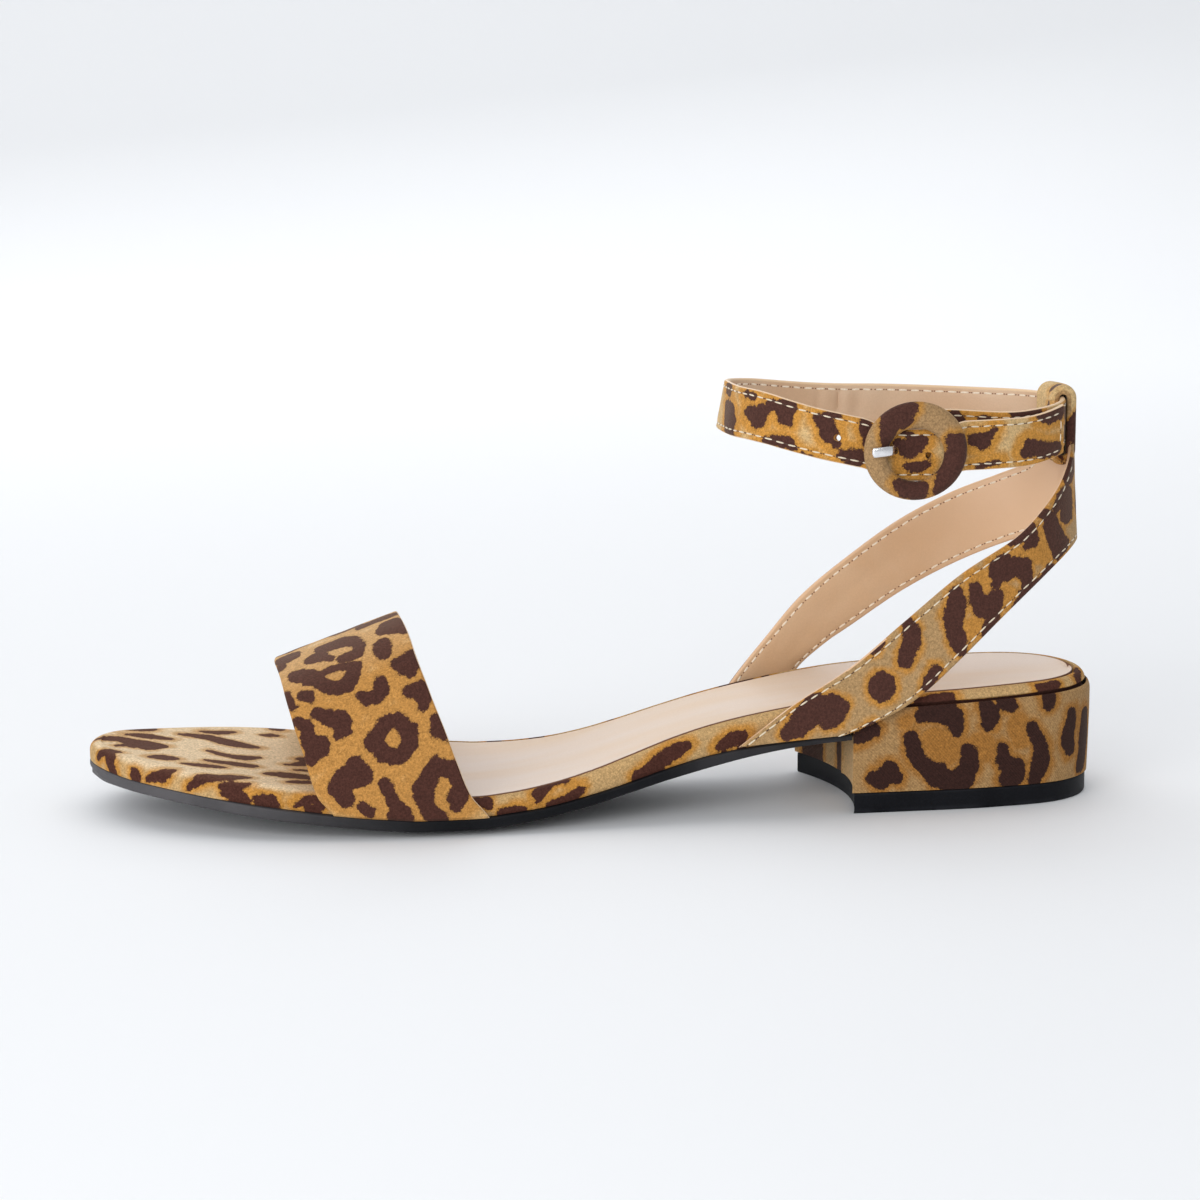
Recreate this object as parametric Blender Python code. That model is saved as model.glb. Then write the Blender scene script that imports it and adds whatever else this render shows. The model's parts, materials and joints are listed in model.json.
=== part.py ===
"""Dress sandal, left foot: a wide vamp band, a back sling with a strap loop,
an ankle strap with a covered ring buckle, a covered block heel and a thin sole.

Shoe axes used by the tables, in millimetres:
  s  along the shoe, 0 at the back of the heel seat, growing toward the toe
  y  across the shoe, minus on the outer (lateral) side, plus on the inner side
  z  up from the ground
In the built part the toe points to -X, the outer side to -Y, and +Z is up.
"""

import math

import bmesh
import bpy
import numpy as np

for old in list(bpy.data.objects):
    bpy.data.objects.remove(old, do_unlink=True)

MM = 0.001

# ---------------------------------------------------------------- dimensions
GAP = 0.3                  # clearance kept between neighbouring pieces
STATION_SKEW = 0.10        # the sole bends about lines turned toward the inner side

SOLE_MARGIN = 1.2          # outsole edge beyond the footbed edge
SOLE_TOE_MARGIN = 0.2      # same at the toe
SOLE_CHAMFER = 0.5
SOLE_ROLL = 1.5            # the tread lifts this much toward its two edges
BED_EDGE_RADIUS = 2.4      # rounded upper edge of the footbed, heel and shank
BED_TOE_RADIUS = 4.0       # same at the toe
SOCK_RECESS = 1.1          # shallow pocket that takes the sock
SOCK_THICKNESS = 0.9
SOCK_FRONT = 184.0         # the sock ends under the vamp band

BREAST_OUTER = 67.0        # heel front at the outer side
BREAST_INNER = 70.0        # heel front at the inner side
BREAST_HOLLOW = 4.6        # depth of the hollow in the heel front
HEEL_PROUD = 1.3           # heel wall beyond the footbed edge at the top
HEEL_FOOT = 0.9            # heel wall beyond the footbed edge at the bottom
RIM_SHOWING = 2.5          # footbed edge seen above the heel
LIFT_HEIGHT = 5.0

STRAP_WALL = 1.5           # folded strap, face and lining together
STRAP_STANDOFF = 0.35      # strap lining off the footbed side
VAMP_SQUARENESS = 2.35     # section of the vamp band, 2 is an ellipse
VAMP_CREST_FRONT = 35.6
VAMP_CREST_REAR = 47.2

ANKLE_WIDTH = 12.2
ANKLE_CENTRE = 51.0        # s at the middle of the ankle ring
ANKLE_HALF_LENGTH = 42.4
ANKLE_HALF_WIDTH = 27.0
ANKLE_SQUARENESS = 2.2
TIP_STEP = 2.5             # the free end lies this far outside the layer below

BUCKLE_S = 53.8
BUCKLE_Z = 90.1
RING_MID_RADIUS = 9.6
RING_HALF_BAND = 2.65
RING_HALF_THICK = 1.6
BAR_RADIUS = 0.7

LOOP_S = 8.1
LOOP_Z = 92.6
LOOP_HALF_THICK = 3.3
LOOP_HALF_HEIGHT = 10.0
LOOP_WIDTH = 12.4
LOOP_WALL = 1.5
LOOP_BEND = 17.0           # radius the loop follows round the back of the ankle

# Footbed edge seen from above.
OUTLINE_COLUMNS = ("s", "outer_y", "inner_y")
OUTLINE = (
    (1.2, 0.0, 0.0),
    (4.6, -13.0, 13.2),
    (13.6, -21.5, 21.7),
    (32.0, -25.6, 25.7),
    (58.0, -26.4, 24.6),
    (84.0, -26.4, 20.2),
    (108.0, -27.4, 19.0),
    (130.0, -30.2, 25.2),
    (152.0, -32.8, 35.4),
    (175.0, -33.6, 41.6),
    (198.0, -31.6, 42.8),
    (218.0, -26.2, 41.2),
    (234.0, -17.0, 36.4),
    (245.0, -4.8, 30.6),
    (251.6, 15.0, 15.0),
)

# Heights along the sole: underside of the outsole, underside and top of footbed.
PROFILE_COLUMNS = ("station", "sole_under", "bed_under", "bed_top")
PROFILE = (
    (-4.0, 19.4, 22.6, 31.0),
    (15.0, 19.4, 22.6, 30.5),
    (40.0, 18.7, 22.0, 29.5),
    (60.0, 17.4, 20.4, 28.7),
    (75.0, 16.3, 19.2, 27.4),
    (90.0, 14.4, 17.7, 25.1),
    (100.0, 12.6, 16.1, 23.0),
    (110.0, 10.1, 13.7, 20.2),
    (120.0, 7.1, 10.8, 16.8),
    (130.0, 4.3, 8.2, 13.5),
    (140.0, 2.2, 6.1, 11.0),
    (150.0, 0.7, 4.9, 9.4),
    (158.0, 0.0, 4.3, 8.8),
    (171.0, 0.0, 4.3, 8.9),
    (180.0, 0.6, 4.9, 9.5),
    (190.0, 1.6, 5.8, 10.4),
    (205.0, 3.1, 7.4, 12.4),
    (220.0, 4.8, 9.1, 14.0),
    (235.0, 6.5, 10.7, 15.2),
    (256.0, 9.0, 12.9, 16.3),
)

# Front and rear edges of the vamp band, from the outer to the inner sole edge.
VAMP_COLUMNS = ("turn", "front_s", "rear_s")
VAMP = (
    (0.00, 195.8, 158.6),
    (0.03, 199.4, 163.0),
    (0.08, 201.2, 166.0),
    (0.14, 202.6, 168.6),
    (0.22, 204.3, 171.6),
    (0.34, 205.6, 174.3),
    (0.50, 206.0, 175.2),
    (0.67, 202.0, 172.2),
    (0.80, 197.6, 167.6),
    (0.92, 193.6, 162.6),
    (1.00, 191.0, 159.0),
)

# Back sling: upper and lower edge, from a sole edge round to the middle back.
# A first row without heights stands on the outsole.
SLING_COLUMNS = ("upper_s", "upper_y", "upper_z", "lower_s", "lower_y", "lower_z")
SLING_OUTER = (
    (96.5, -28.0, None, 70.6, -29.0, None),
    (90.0, -28.1, 22.9, 63.4, -29.6, 23.0),
    (83.3, -28.2, 27.9, 57.0, -29.5, 25.8),
    (68.8, -28.2, 36.9, 50.0, -28.7, 30.2),
    (55.0, -27.7, 47.9, 40.0, -27.3, 38.6),
    (41.0, -27.0, 58.9, 30.0, -25.7, 47.6),
    (25.5, -23.9, 67.7, 17.0, -20.7, 57.8),
    (17.6, -20.0, 74.2, 11.5, -16.2, 61.2),
    (12.0, -14.6, 79.5, 7.9, -11.6, 63.0),
    (7.8, -8.6, 86.0, 5.6, -6.6, 63.8),
)
SLING_MIDDLE = (5.6, 0.0, 90.5, 4.8, 0.0, 64.2)
SLING_INNER = (
    (92.0, 21.4, None, 75.0, 22.9, None),
    (87.5, 21.7, 25.0, 69.0, 25.2, 27.5),
    (78.2, 24.0, 35.5, 62.0, 26.4, 33.0),
    (68.2, 26.2, 46.0, 54.7, 27.5, 37.4),
    (55.0, 27.3, 56.2, 41.5, 27.3, 46.0),
    (42.0, 26.8, 65.2, 30.0, 25.6, 52.4),
    (29.0, 24.7, 72.2, 19.1, 21.7, 57.8),
    (17.4, 19.6, 77.5, 11.5, 16.2, 61.4),
    (11.2, 13.8, 81.2, 7.9, 11.6, 63.0),
    (7.8, 8.6, 86.0, 5.6, 6.6, 63.8),
)

# Height of the ankle strap's middle line. The turn starts at the back, in degrees:
# 90 outer side, 180 front, 270 inner side, 360 back, then the layer under the tip.
ANKLE_COLUMNS = ("turn", "middle_z")
ANKLE_RISE = (
    (30.0, 93.4),
    (60.0, 91.0),
    (90.0, 90.4),
    (120.0, 93.0),
    (150.0, 96.6),
    (180.0, 98.6),
    (225.0, 97.0),
    (270.0, 94.5),
    (315.0, 93.6),
    (360.0, 93.7),
    (400.0, 92.7),
    (460.0, 90.1),
)


# ------------------------------------------------------------------- curves
def monotone(xs, ys):
    """Smooth curve through a table that never overshoots its rows."""
    xs = np.asarray(xs, float)
    ys = np.asarray(ys, float)
    h = np.diff(xs)
    d = np.diff(ys) / h
    m = np.zeros_like(ys)
    m[0], m[-1] = d[0], d[-1]
    for i in range(1, len(xs) - 1):
        if d[i - 1] * d[i] > 0:
            w1 = 2 * h[i] + h[i - 1]
            w2 = h[i] + 2 * h[i - 1]
            m[i] = (w1 + w2) / (w1 / d[i - 1] + w2 / d[i])

    def at(x):
        x = np.clip(np.asarray(x, float), xs[0], xs[-1])
        k = np.clip(np.searchsorted(xs, x, side="right") - 1, 0, len(h) - 1)
        t = (x - xs[k]) / h[k]
        return ((2 * t ** 3 - 3 * t ** 2 + 1) * ys[k] + (t ** 3 - 2 * t ** 2 + t) * h[k] * m[k]
                + (3 * t ** 2 - 2 * t ** 3) * ys[k + 1] + (t ** 3 - t ** 2) * h[k] * m[k + 1])
    return at


def through(points, per_span, closed=False):
    """Rounded path through a few points, spaced by the distance between them."""
    pts = np.asarray(points, float)
    if closed:
        ext = np.vstack([pts[-1:], pts, pts[:2]])
    else:
        ext = np.vstack([2 * pts[:1] - pts[1:2], pts, 2 * pts[-1:] - pts[-2:-1]])
    out = []
    for i in range(1, len(ext) - 2):
        p0, p1, p2, p3 = ext[i - 1:i + 3]
        a, b, c = (max(np.linalg.norm(q - p), 1e-6) ** 0.5 for p, q in ((p0, p1), (p1, p2), (p2, p3)))
        m1 = (p1 - p0) / a - (p2 - p0) / (a + b) + (p2 - p1) / b
        m2 = (p2 - p1) / b - (p3 - p1) / (b + c) + (p3 - p2) / c
        for k in range(per_span):
            t = k / per_span
            out.append((2 * t ** 3 - 3 * t ** 2 + 1) * p1 + (t ** 3 - 2 * t ** 2 + t) * b * m1
                       + (3 * t ** 2 - 2 * t ** 3) * p2 + (t ** 3 - t ** 2) * b * m2)
    if not closed:
        out.append(pts[-1])
    return np.array(out)


def by_length(path):
    """Distance along a path as a fraction of its whole length."""
    step = np.linalg.norm(np.diff(path, axis=0), axis=1)
    run = np.concatenate([[0.0], np.cumsum(step)])
    return run / run[-1]


profile = {name: monotone([r[0] for r in PROFILE], [r[i] for r in PROFILE])
           for i, name in enumerate(PROFILE_COLUMNS) if i}


def station(s, y):
    return s + STATION_SKEW * y


def sole_under(s, y):
    return profile["sole_under"](station(s, y))


def bed_under(s, y):
    return profile["bed_under"](station(s, y))


def bed_top(s, y):
    return profile["bed_top"](station(s, y))


def ramp(x, lo, hi):
    t = np.clip((np.asarray(x, float) - lo) / (hi - lo), 0.0, 1.0)
    return t * t * (3 - 2 * t)


# ------------------------------------------------------------------ outline
PER_SPAN = 24
rows = [np.array((r[0], r[1])) for r in OUTLINE] + [np.array((r[0], r[2])) for r in OUTLINE[-2:0:-1]]
edge = through(rows, PER_SPAN, closed=True)
tangent = np.roll(edge, -1, axis=0) - np.roll(edge, 1, axis=0)
tangent /= np.linalg.norm(tangent, axis=1)[:, None]
outward = np.stack([-tangent[:, 1], tangent[:, 0]], axis=1)
if np.dot(outward[0], (-1.0, 0.0)) < 0:
    outward = -outward
TOE_INDEX = PER_SPAN * (len(OUTLINE) - 1)
wrap = np.arange(len(edge), TOE_INDEX - 1, -1) % len(edge)
branch_at = {"outer": edge[:TOE_INDEX + 1], "inner": edge[wrap]}
branch_out = {"outer": outward[:TOE_INDEX + 1], "inner": outward[wrap]}


def fraction_at(side, s):
    pts = branch_at[side]
    return float(np.interp(s, pts[:, 0], by_length(pts)))


def edge_points(side, offset, fractions):
    pts = branch_at[side]
    run = by_length(pts)
    off = np.broadcast_to(np.asarray(offset, float), np.shape(fractions))
    base = np.stack([np.interp(fractions, run, pts[:, k]) for k in (0, 1)], axis=1)
    out = np.stack([np.interp(fractions, run, branch_out[side][:, k]) for k in (0, 1)], axis=1)
    out /= np.linalg.norm(out, axis=1)[:, None]
    return base + out * off[:, None]


def edge_y(side, s):
    pts = branch_at[side]
    return np.interp(s, pts[:, 0], pts[:, 1])


# ------------------------------------------------------------------- meshes
root = bpy.data.objects.new("dress_sandal", None)
bpy.context.scene.collection.objects.link(root)


def material(name, colour, roughness, metallic=0.0):
    mat = bpy.data.materials.new(name)
    mat.use_nodes = True
    bsdf = next(n for n in mat.node_tree.nodes if n.type == "BSDF_PRINCIPLED")
    bsdf.inputs["Base Color"].default_value = (*colour, 1.0)
    bsdf.inputs["Roughness"].default_value = roughness
    bsdf.inputs["Metallic"].default_value = metallic
    mat.diffuse_color = (*colour, 1.0)
    return mat


def piece(name, verts, faces, mat=None, helper=False):
    """Mesh object from shoe-axis points, with its faces turned outward."""
    mesh = bpy.data.meshes.new(name)
    bm = bmesh.new()
    made = [bm.verts.new((-v[0] * MM, v[1] * MM, v[2] * MM)) for v in verts]
    for f in faces:
        bm.faces.new([made[i] for i in f])
    bmesh.ops.recalc_face_normals(bm, faces=bm.faces[:])
    if bm.calc_volume(signed=True) < 0:
        bmesh.ops.reverse_faces(bm, faces=bm.faces[:])
    bm.to_mesh(mesh)
    bm.free()
    mesh.shade_smooth()
    mesh.set_sharp_from_angle(angle=math.radians(40))
    ob = bpy.data.objects.new(name, mesh)
    bpy.context.scene.collection.objects.link(ob)
    ob.parent = root
    if mat:
        mesh.materials.append(mat)
    if helper:
        ob.hide_render = True
        ob.display_type = "WIRE"
    return ob


def combine(ob, other, how):
    mod = ob.modifiers.new(how.lower(), "BOOLEAN")
    mod.operation = how
    mod.solver = "EXACT"
    mod.object = other
    return mod


def wall(ob, thickness):
    mod = ob.modifiers.new("wall", "SOLIDIFY")
    mod.thickness = thickness * MM
    mod.offset = 0.0
    mod.use_even_offset = True
    mod.use_rim = True
    return mod


def slab(name, outer_fr, inner_fr, levels, mat, cut_start=None, cut_end=None, columns=6, helper=False):
    """Layered body between the two sole edges.

    levels: (offset from the footbed edge, height function) from bottom to top.
    cut_start, cut_end: None where both edges meet, else a bow for the cut end.
    """
    n = len(outer_fr) - 1
    across = np.linspace(0.0, 1.0, columns + 1)

    def grid(offset, height):
        off_o = offset("outer", outer_fr) if callable(offset) else offset
        off_i = offset("inner", inner_fr) if callable(offset) else offset
        po = edge_points("outer", off_o, outer_fr)
        pi = edge_points("inner", off_i, inner_fr)
        pts = po[:, None, :] * (1 - across)[None, :, None] + pi[:, None, :] * across[None, :, None]
        hump = 4 * across * (1 - across)
        for bow, seq in ((cut_start, range(n + 1)), (cut_end, range(n, -1, -1))):
            if bow:
                for k, i in enumerate(seq):
                    pts[i, :, 0] += bow * hump * max(0.0, 1 - k / 6.0) ** 1.5
        z = height(pts[..., 0], pts[..., 1], np.broadcast_to(across, pts.shape[:2]))
        return np.concatenate([pts, z[..., None]], axis=2)

    ring = [(i, 0) for i in range(n + 1)]
    ring += [(n, j) for j in range(1, columns)] if cut_end is not None else []
    ring += [(i, columns) for i in range(n - (0 if cut_end is not None else 1), 0, -1)]
    ring += [(0, j) for j in range(columns, 0, -1)] if cut_start is not None else []
    verts, faces, loops = [], [], []
    grids = [grid(*level) for level in levels]
    for g in grids:
        loops.append(list(range(len(verts), len(verts) + len(ring))))
        verts += [g[i, j] for i, j in ring]
    for low, high in zip(loops, loops[1:]):
        for k in range(len(ring)):
            m = (k + 1) % len(ring)
            faces.append((low[k], low[m], high[m], high[k]))
    for g, loop in ((grids[0], loops[0]), (grids[-1], loops[-1])):
        index = {key: loop[k] for k, key in enumerate(ring)}
        for i in range(n + 1):
            for j in range(columns + 1):
                if (i, j) in index:
                    continue
                if i == 0 and cut_start is None:
                    index[(i, j)] = index[(0, 0)]
                elif i == n and cut_end is None:
                    index[(i, j)] = index[(n, 0)]
                else:
                    index[(i, j)] = len(verts)
                    verts.append(g[i, j])
        for i in range(n):
            for j in range(columns):
                f = [index[(i, j)], index[(i + 1, j)], index[(i + 1, j + 1)], index[(i, j + 1)]]
                f = [v for k, v in enumerate(f) if v not in f[:k]]
                faces.append(tuple(f))
    return piece(name, verts, faces, mat, helper)


def sheet(name, grid, mat, thickness):
    """Strap from a grid of middle-surface points, given its wall."""
    grid = np.asarray(grid, float)
    nr, nc = grid.shape[:2]
    faces = [(i * nc + j, (i + 1) * nc + j, (i + 1) * nc + j + 1, i * nc + j + 1)
             for i in range(nr - 1) for j in range(nc - 1)]
    ob = piece(name, grid.reshape(-1, 3), faces, mat)
    wall(ob, thickness)
    return ob


def swept(name, path, section, mat=None, helper=False):
    """Closed bar: a section (across, along z) carried along a path."""
    path = np.asarray(path, float)
    along = np.gradient(path, axis=0)
    along /= np.linalg.norm(along, axis=1)[:, None]
    verts, faces = [], []
    m = len(section)
    ref = np.array((0.0, 0.0, 1.0)) if abs(along[:, 2]).max() < 0.9 else np.array((1.0, 0.0, 0.0))
    for p, t in zip(path, along):
        side = np.cross(t, ref)
        side /= np.linalg.norm(side)
        up = np.cross(side, t)
        verts += [p + a * side + b * up for a, b in section]
    for i in range(len(path) - 1):
        for k in range(m):
            faces.append((i * m + k, i * m + (k + 1) % m, (i + 1) * m + (k + 1) % m, (i + 1) * m + k))
    faces.append(tuple(range(m)))
    faces.append(tuple(range((len(path) - 1) * m, len(path) * m)))
    return piece(name, verts, faces, mat, helper)


def round_section(radius, count=8):
    return [(radius * math.cos(2 * math.pi * k / count), radius * math.sin(2 * math.pi * k / count))
            for k in range(count)]


def eased(count):
    t = np.linspace(0.0, 1.0, count + 1)
    return 0.5 * t + 0.25 * (1 - np.cos(math.pi * t))


# ----------------------------------------------------------------- the sole
full = eased(46)
recess_edge = BED_EDGE_RADIUS + 0.5


def edge_radius(side, fractions):
    s = edge_points(side, 0.0, fractions)[:, 0]
    return BED_EDGE_RADIUS + (BED_TOE_RADIUS - BED_EDGE_RADIUS) * ramp(s, 196.0, 226.0)


def radius_at(s):
    return BED_EDGE_RADIUS + (BED_TOE_RADIUS - BED_EDGE_RADIUS) * ramp(s, 196.0, 226.0)


def rounded(angle):
    a = math.radians(angle)
    return (lambda side, fr: -edge_radius(side, fr) * (1 - math.cos(a)),
            lambda s, y, f: bed_top(s, y) - radius_at(s) * (1 - math.sin(a)))


def recess(s, y):
    return SOCK_RECESS * (1 - ramp(station(s, y), SOCK_FRONT + 1.5, SOCK_FRONT + 6.5))


def dish(s, y):
    return 1.2 - 0.8 * ramp(station(s, y), 70.0, 150.0)


def bed_floor(s, y, f):
    return bed_top(s, y) - recess(s, y) - dish(s, y) * 4 * f * (1 - f)


slab("footbed", full, full,
     [(-0.6, lambda s, y, f: bed_under(s, y)),
      (0.0, lambda s, y, f: bed_under(s, y) + 0.6),
      rounded(0), rounded(32), rounded(62), rounded(90),
      (lambda side, fr: -edge_radius(side, fr) - 0.5, bed_floor)],
     material("footbed_wrap", (0.56, 0.36, 0.16), 0.75))

sock_fr = {}
for side in ("outer", "inner"):
    end = SOCK_FRONT - 2.0 - STATION_SKEW * float(edge_y(side, SOCK_FRONT))
    sock_fr[side] = fraction_at(side, end) * eased(34)
slab("sock_lining", sock_fr["outer"], sock_fr["inner"],
     [(-recess_edge - 0.35, lambda s, y, f: bed_floor(s, y, f) + GAP),
      (-recess_edge - 0.35, lambda s, y, f: bed_floor(s, y, f) + GAP + SOCK_THICKNESS)],
     material("sock_leather", (0.60, 0.41, 0.26), 0.55), cut_end=2.0)

sole_fr = {}
for side, front in (("outer", BREAST_OUTER), ("inner", BREAST_INNER)):
    first = fraction_at(side, front + GAP)
    sole_fr[side] = first + (1 - first) * eased(38)


def sole_edge(inset):
    def at(side, fractions):
        s = edge_points(side, 0.0, fractions)[:, 0]
        return SOLE_MARGIN + (SOLE_TOE_MARGIN - SOLE_MARGIN) * ramp(s, 206.0, 230.0) - inset
    return at


def tread(s, y, f):
    roll = np.clip((np.abs(2 * f - 1) - 0.4) / 0.6, 0.0, 1.0) ** 2
    return sole_under(s, y) + SOLE_ROLL * roll


slab("outsole", sole_fr["outer"], sole_fr["inner"],
     [(sole_edge(SOLE_CHAMFER), tread),
      (sole_edge(0.0), lambda s, y, f: tread(s, y, f) + SOLE_CHAMFER),
      (sole_edge(0.0), lambda s, y, f: bed_under(s, y) - GAP)],
     material("outsole_rubber", (0.035, 0.034, 0.036), 0.55), cut_start=-BREAST_HOLLOW)


# ----------------------------------------------------------------- the heel
def heel_rim(s, y, f):
    return bed_top(s, y) - RIM_SHOWING


def heel_fr(pull, count=22):
    return {side: fraction_at(side, front - pull) * eased(count)
            for side, front in (("outer", BREAST_OUTER), ("inner", BREAST_INNER))}


block_fr = heel_fr(0.0)
heel = slab("heel_block", block_fr["outer"], block_fr["inner"],
            [(HEEL_FOOT, lambda s, y, f: LIFT_HEIGHT + GAP + 0 * s),
             (HEEL_PROUD - 0.2, lambda s, y, f: 15.0 + 0 * s),
             (HEEL_PROUD, lambda s, y, f: heel_rim(s, y, f) - 2.2),
             (HEEL_PROUD - 0.25, lambda s, y, f: heel_rim(s, y, f) - 0.9),
             (HEEL_PROUD - 0.8, heel_rim)],
            material("heel_wrap", (0.55, 0.35, 0.15), 0.75), cut_end=-BREAST_HOLLOW)

seat_fr = {side: fraction_at(side, 92.0) * eased(28) for side in ("outer", "inner")}
seat = slab("heel_seat_cutter", seat_fr["outer"], seat_fr["inner"],
            [(GAP, lambda s, y, f: bed_under(s, y) - GAP),
             (GAP, lambda s, y, f: bed_top(s, y) + 6.0)],
            None, cut_end=0.0, helper=True)
combine(heel, seat, "DIFFERENCE")

lift_fr = heel_fr(0.6)
slab("heel_top_lift", lift_fr["outer"], lift_fr["inner"],
     [(HEEL_FOOT - 0.9, lambda s, y, f: 0 * s),
      (HEEL_FOOT - 0.4, lambda s, y, f: 0.5 + 0 * s),
      (HEEL_FOOT - 0.4, lambda s, y, f: LIFT_HEIGHT + 0 * s)],
     material("lift_rubber", (0.022, 0.020, 0.020), 0.6), cut_end=-BREAST_HOLLOW)


# ----------------------------------------------------------------- vamp band
vamp_front = monotone([r[0] for r in VAMP], [r[1] for r in VAMP])
vamp_rear = monotone([r[0] for r in VAMP], [r[2] for r in VAMP])


def vamp_grid(turns, depths):
    off = STRAP_STANDOFF + STRAP_WALL / 2
    out = []
    for u in turns:
        row = []
        front, rear = float(vamp_front(u)), float(vamp_rear(u))
        for v in depths:
            s = front + (rear - front) * v
            y_out = float(edge_y("outer", s)) - off
            y_in = float(edge_y("inner", s)) + off
            c, h = math.cos(math.pi * u), math.sin(math.pi * u)
            across = math.copysign(abs(c) ** (2 / VAMP_SQUARENESS), c)
            up = max(h, 0.0) ** (2 / VAMP_SQUARENESS)
            mid, half = (y_out + y_in) / 2, (y_in - y_out) / 2
            y = mid - half * across
            foot = float(bed_under(s, y_out if u < 0.5 else y_in))
            crest = VAMP_CREST_FRONT + (VAMP_CREST_REAR - VAMP_CREST_FRONT) * v
            row.append((s, y, foot + (crest - foot) * up))
        out.append(row)
    return out


sheet("vamp_strap", vamp_grid(np.linspace(0, 1, 37), np.linspace(0, 1, 7)),
      material("vamp_fabric", (0.58, 0.38, 0.17), 0.8), STRAP_WALL)


# ---------------------------------------------------------------- back sling
def standing(row):
    us, uy, uz, ls, ly, lz = row
    uz = float(bed_under(us, uy)) if uz is None else uz
    lz = float(bed_under(ls, ly)) if lz is None else lz
    return us, uy, uz, ls, ly, lz


chain = [standing(r) for r in SLING_OUTER] + [SLING_MIDDLE] + [standing(r) for r in SLING_INNER[::-1]]
upper = through([r[:3] for r in chain], 3)
lower = through([r[3:] for r in chain], 3)
strips = np.linspace(0, 1, 6)
sling_grid = [[lo + (up - lo) * f for f in strips] for up, lo in zip(upper, lower)]
sling = sheet("back_sling", sling_grid, material("sling_fabric", (0.58, 0.38, 0.17), 0.8), STRAP_WALL)


def track(half_thick, half_height, count=7):
    """Rounded flat loop: two straight legs and two half-round ends."""
    straight = half_height - half_thick
    pts = [(half_thick * math.cos(a), straight + half_thick * math.sin(a))
           for a in np.linspace(0, math.pi, count)]
    pts += [(half_thick * math.cos(a), -straight + half_thick * math.sin(a))
            for a in np.linspace(math.pi, 2 * math.pi, count)]
    return pts


def tunnel(name):
    outer = track(LOOP_HALF_THICK, LOOP_HALF_HEIGHT)
    inner = track(LOOP_HALF_THICK - LOOP_WALL, LOOP_HALF_HEIGHT - LOOP_WALL)
    m = len(outer)
    verts, faces = [], []
    steps = np.linspace(-LOOP_WIDTH / 2, LOOP_WIDTH / 2, 7)
    for y in steps:
        lean = y * y / (2 * LOOP_BEND)
        verts += [(LOOP_S + lean + a, y, LOOP_Z + b) for a, b in outer]
        verts += [(LOOP_S + lean + a, y, LOOP_Z + b) for a, b in inner]
    for i in range(len(steps) - 1):
        a, b = i * 2 * m, (i + 1) * 2 * m
        for k in range(m):
            n = (k + 1) % m
            faces.append((a + k, a + n, b + n, b + k))
            faces.append((a + m + k, a + m + n, b + m + n, b + m + k))
    for base in (0, (len(steps) - 1) * 2 * m):
        for k in range(m):
            n = (k + 1) % m
            faces.append((base + k, base + n, base + m + n, base + m + k))
    return piece(name, verts, faces, helper=True)


combine(sling, tunnel("strap_loop_form"), "UNION")

# --------------------------------------------------------------- ankle strap
ankle_z = monotone([r[0] for r in ANKLE_RISE], [r[1] for r in ANKLE_RISE])


def ring_point(turn, outset):
    a = math.radians(turn)
    c, h = -math.cos(a), -math.sin(a)
    e = 2 / ANKLE_SQUARENESS
    return (ANKLE_CENTRE + (ANKLE_HALF_LENGTH + outset) * math.copysign(abs(c) ** e, c),
            (ANKLE_HALF_WIDTH + outset) * math.copysign(abs(h) ** e, h))


BAR_Y = -(ANKLE_HALF_WIDTH + TIP_STEP - STRAP_WALL / 2 - GAP - STRAP_WALL - GAP - BAR_RADIUS)
FOLD_RADIUS = BAR_RADIUS + GAP + STRAP_WALL / 2

plan = []
for turn in np.concatenate([np.arange(33, 140, 5.0), np.arange(140, 361, 6.0), np.arange(365, 409, 5.0)]):
    step = TIP_STEP * (1 - float(ramp(turn, 112.0, 158.0))) * float(ramp(turn, 0.0, 30.0))
    plan.append((*ring_point(turn, step if turn < 200 else 0.0), float(ankle_z(turn))))
end_s = plan[-1][0]
under = BAR_Y + FOLD_RADIUS
for k in np.linspace(0.2, 1.0, 5):
    s = end_s + (BUCKLE_S - end_s) * k
    turn = 408 + (450 - 408) * k
    ring_y = ring_point(turn, 0.0)[1]
    blend = float(ramp(k, 0.0, 0.65))
    plan.append((s, ring_y + (under - ring_y) * blend, float(ankle_z(turn))))
for a in np.radians(np.arange(18, 181, 18)):
    plan.append((BUCKLE_S + FOLD_RADIUS * math.sin(a), BAR_Y + FOLD_RADIUS * math.cos(a), BUCKLE_Z))
for back in (3.0, 6.0, 9.0):
    plan.append((BUCKLE_S - back, BAR_Y - FOLD_RADIUS, BUCKLE_Z))

plan = np.array(plan)
front_lean = np.exp(-((plan[:, 0] - ANKLE_CENTRE - ANKLE_HALF_LENGTH) / 9.0) ** 2)
ankle_grid = []
for p, lean in zip(plan, front_lean):
    ankle_grid.append([(p[0] - lean * 2.2 * f, p[1], p[2] + ANKLE_WIDTH * f) for f in np.linspace(-0.5, 0.5, 4)])
ankle = sheet("ankle_strap", ankle_grid, material("ankle_fabric", (0.58, 0.38, 0.17), 0.8), STRAP_WALL)

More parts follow.
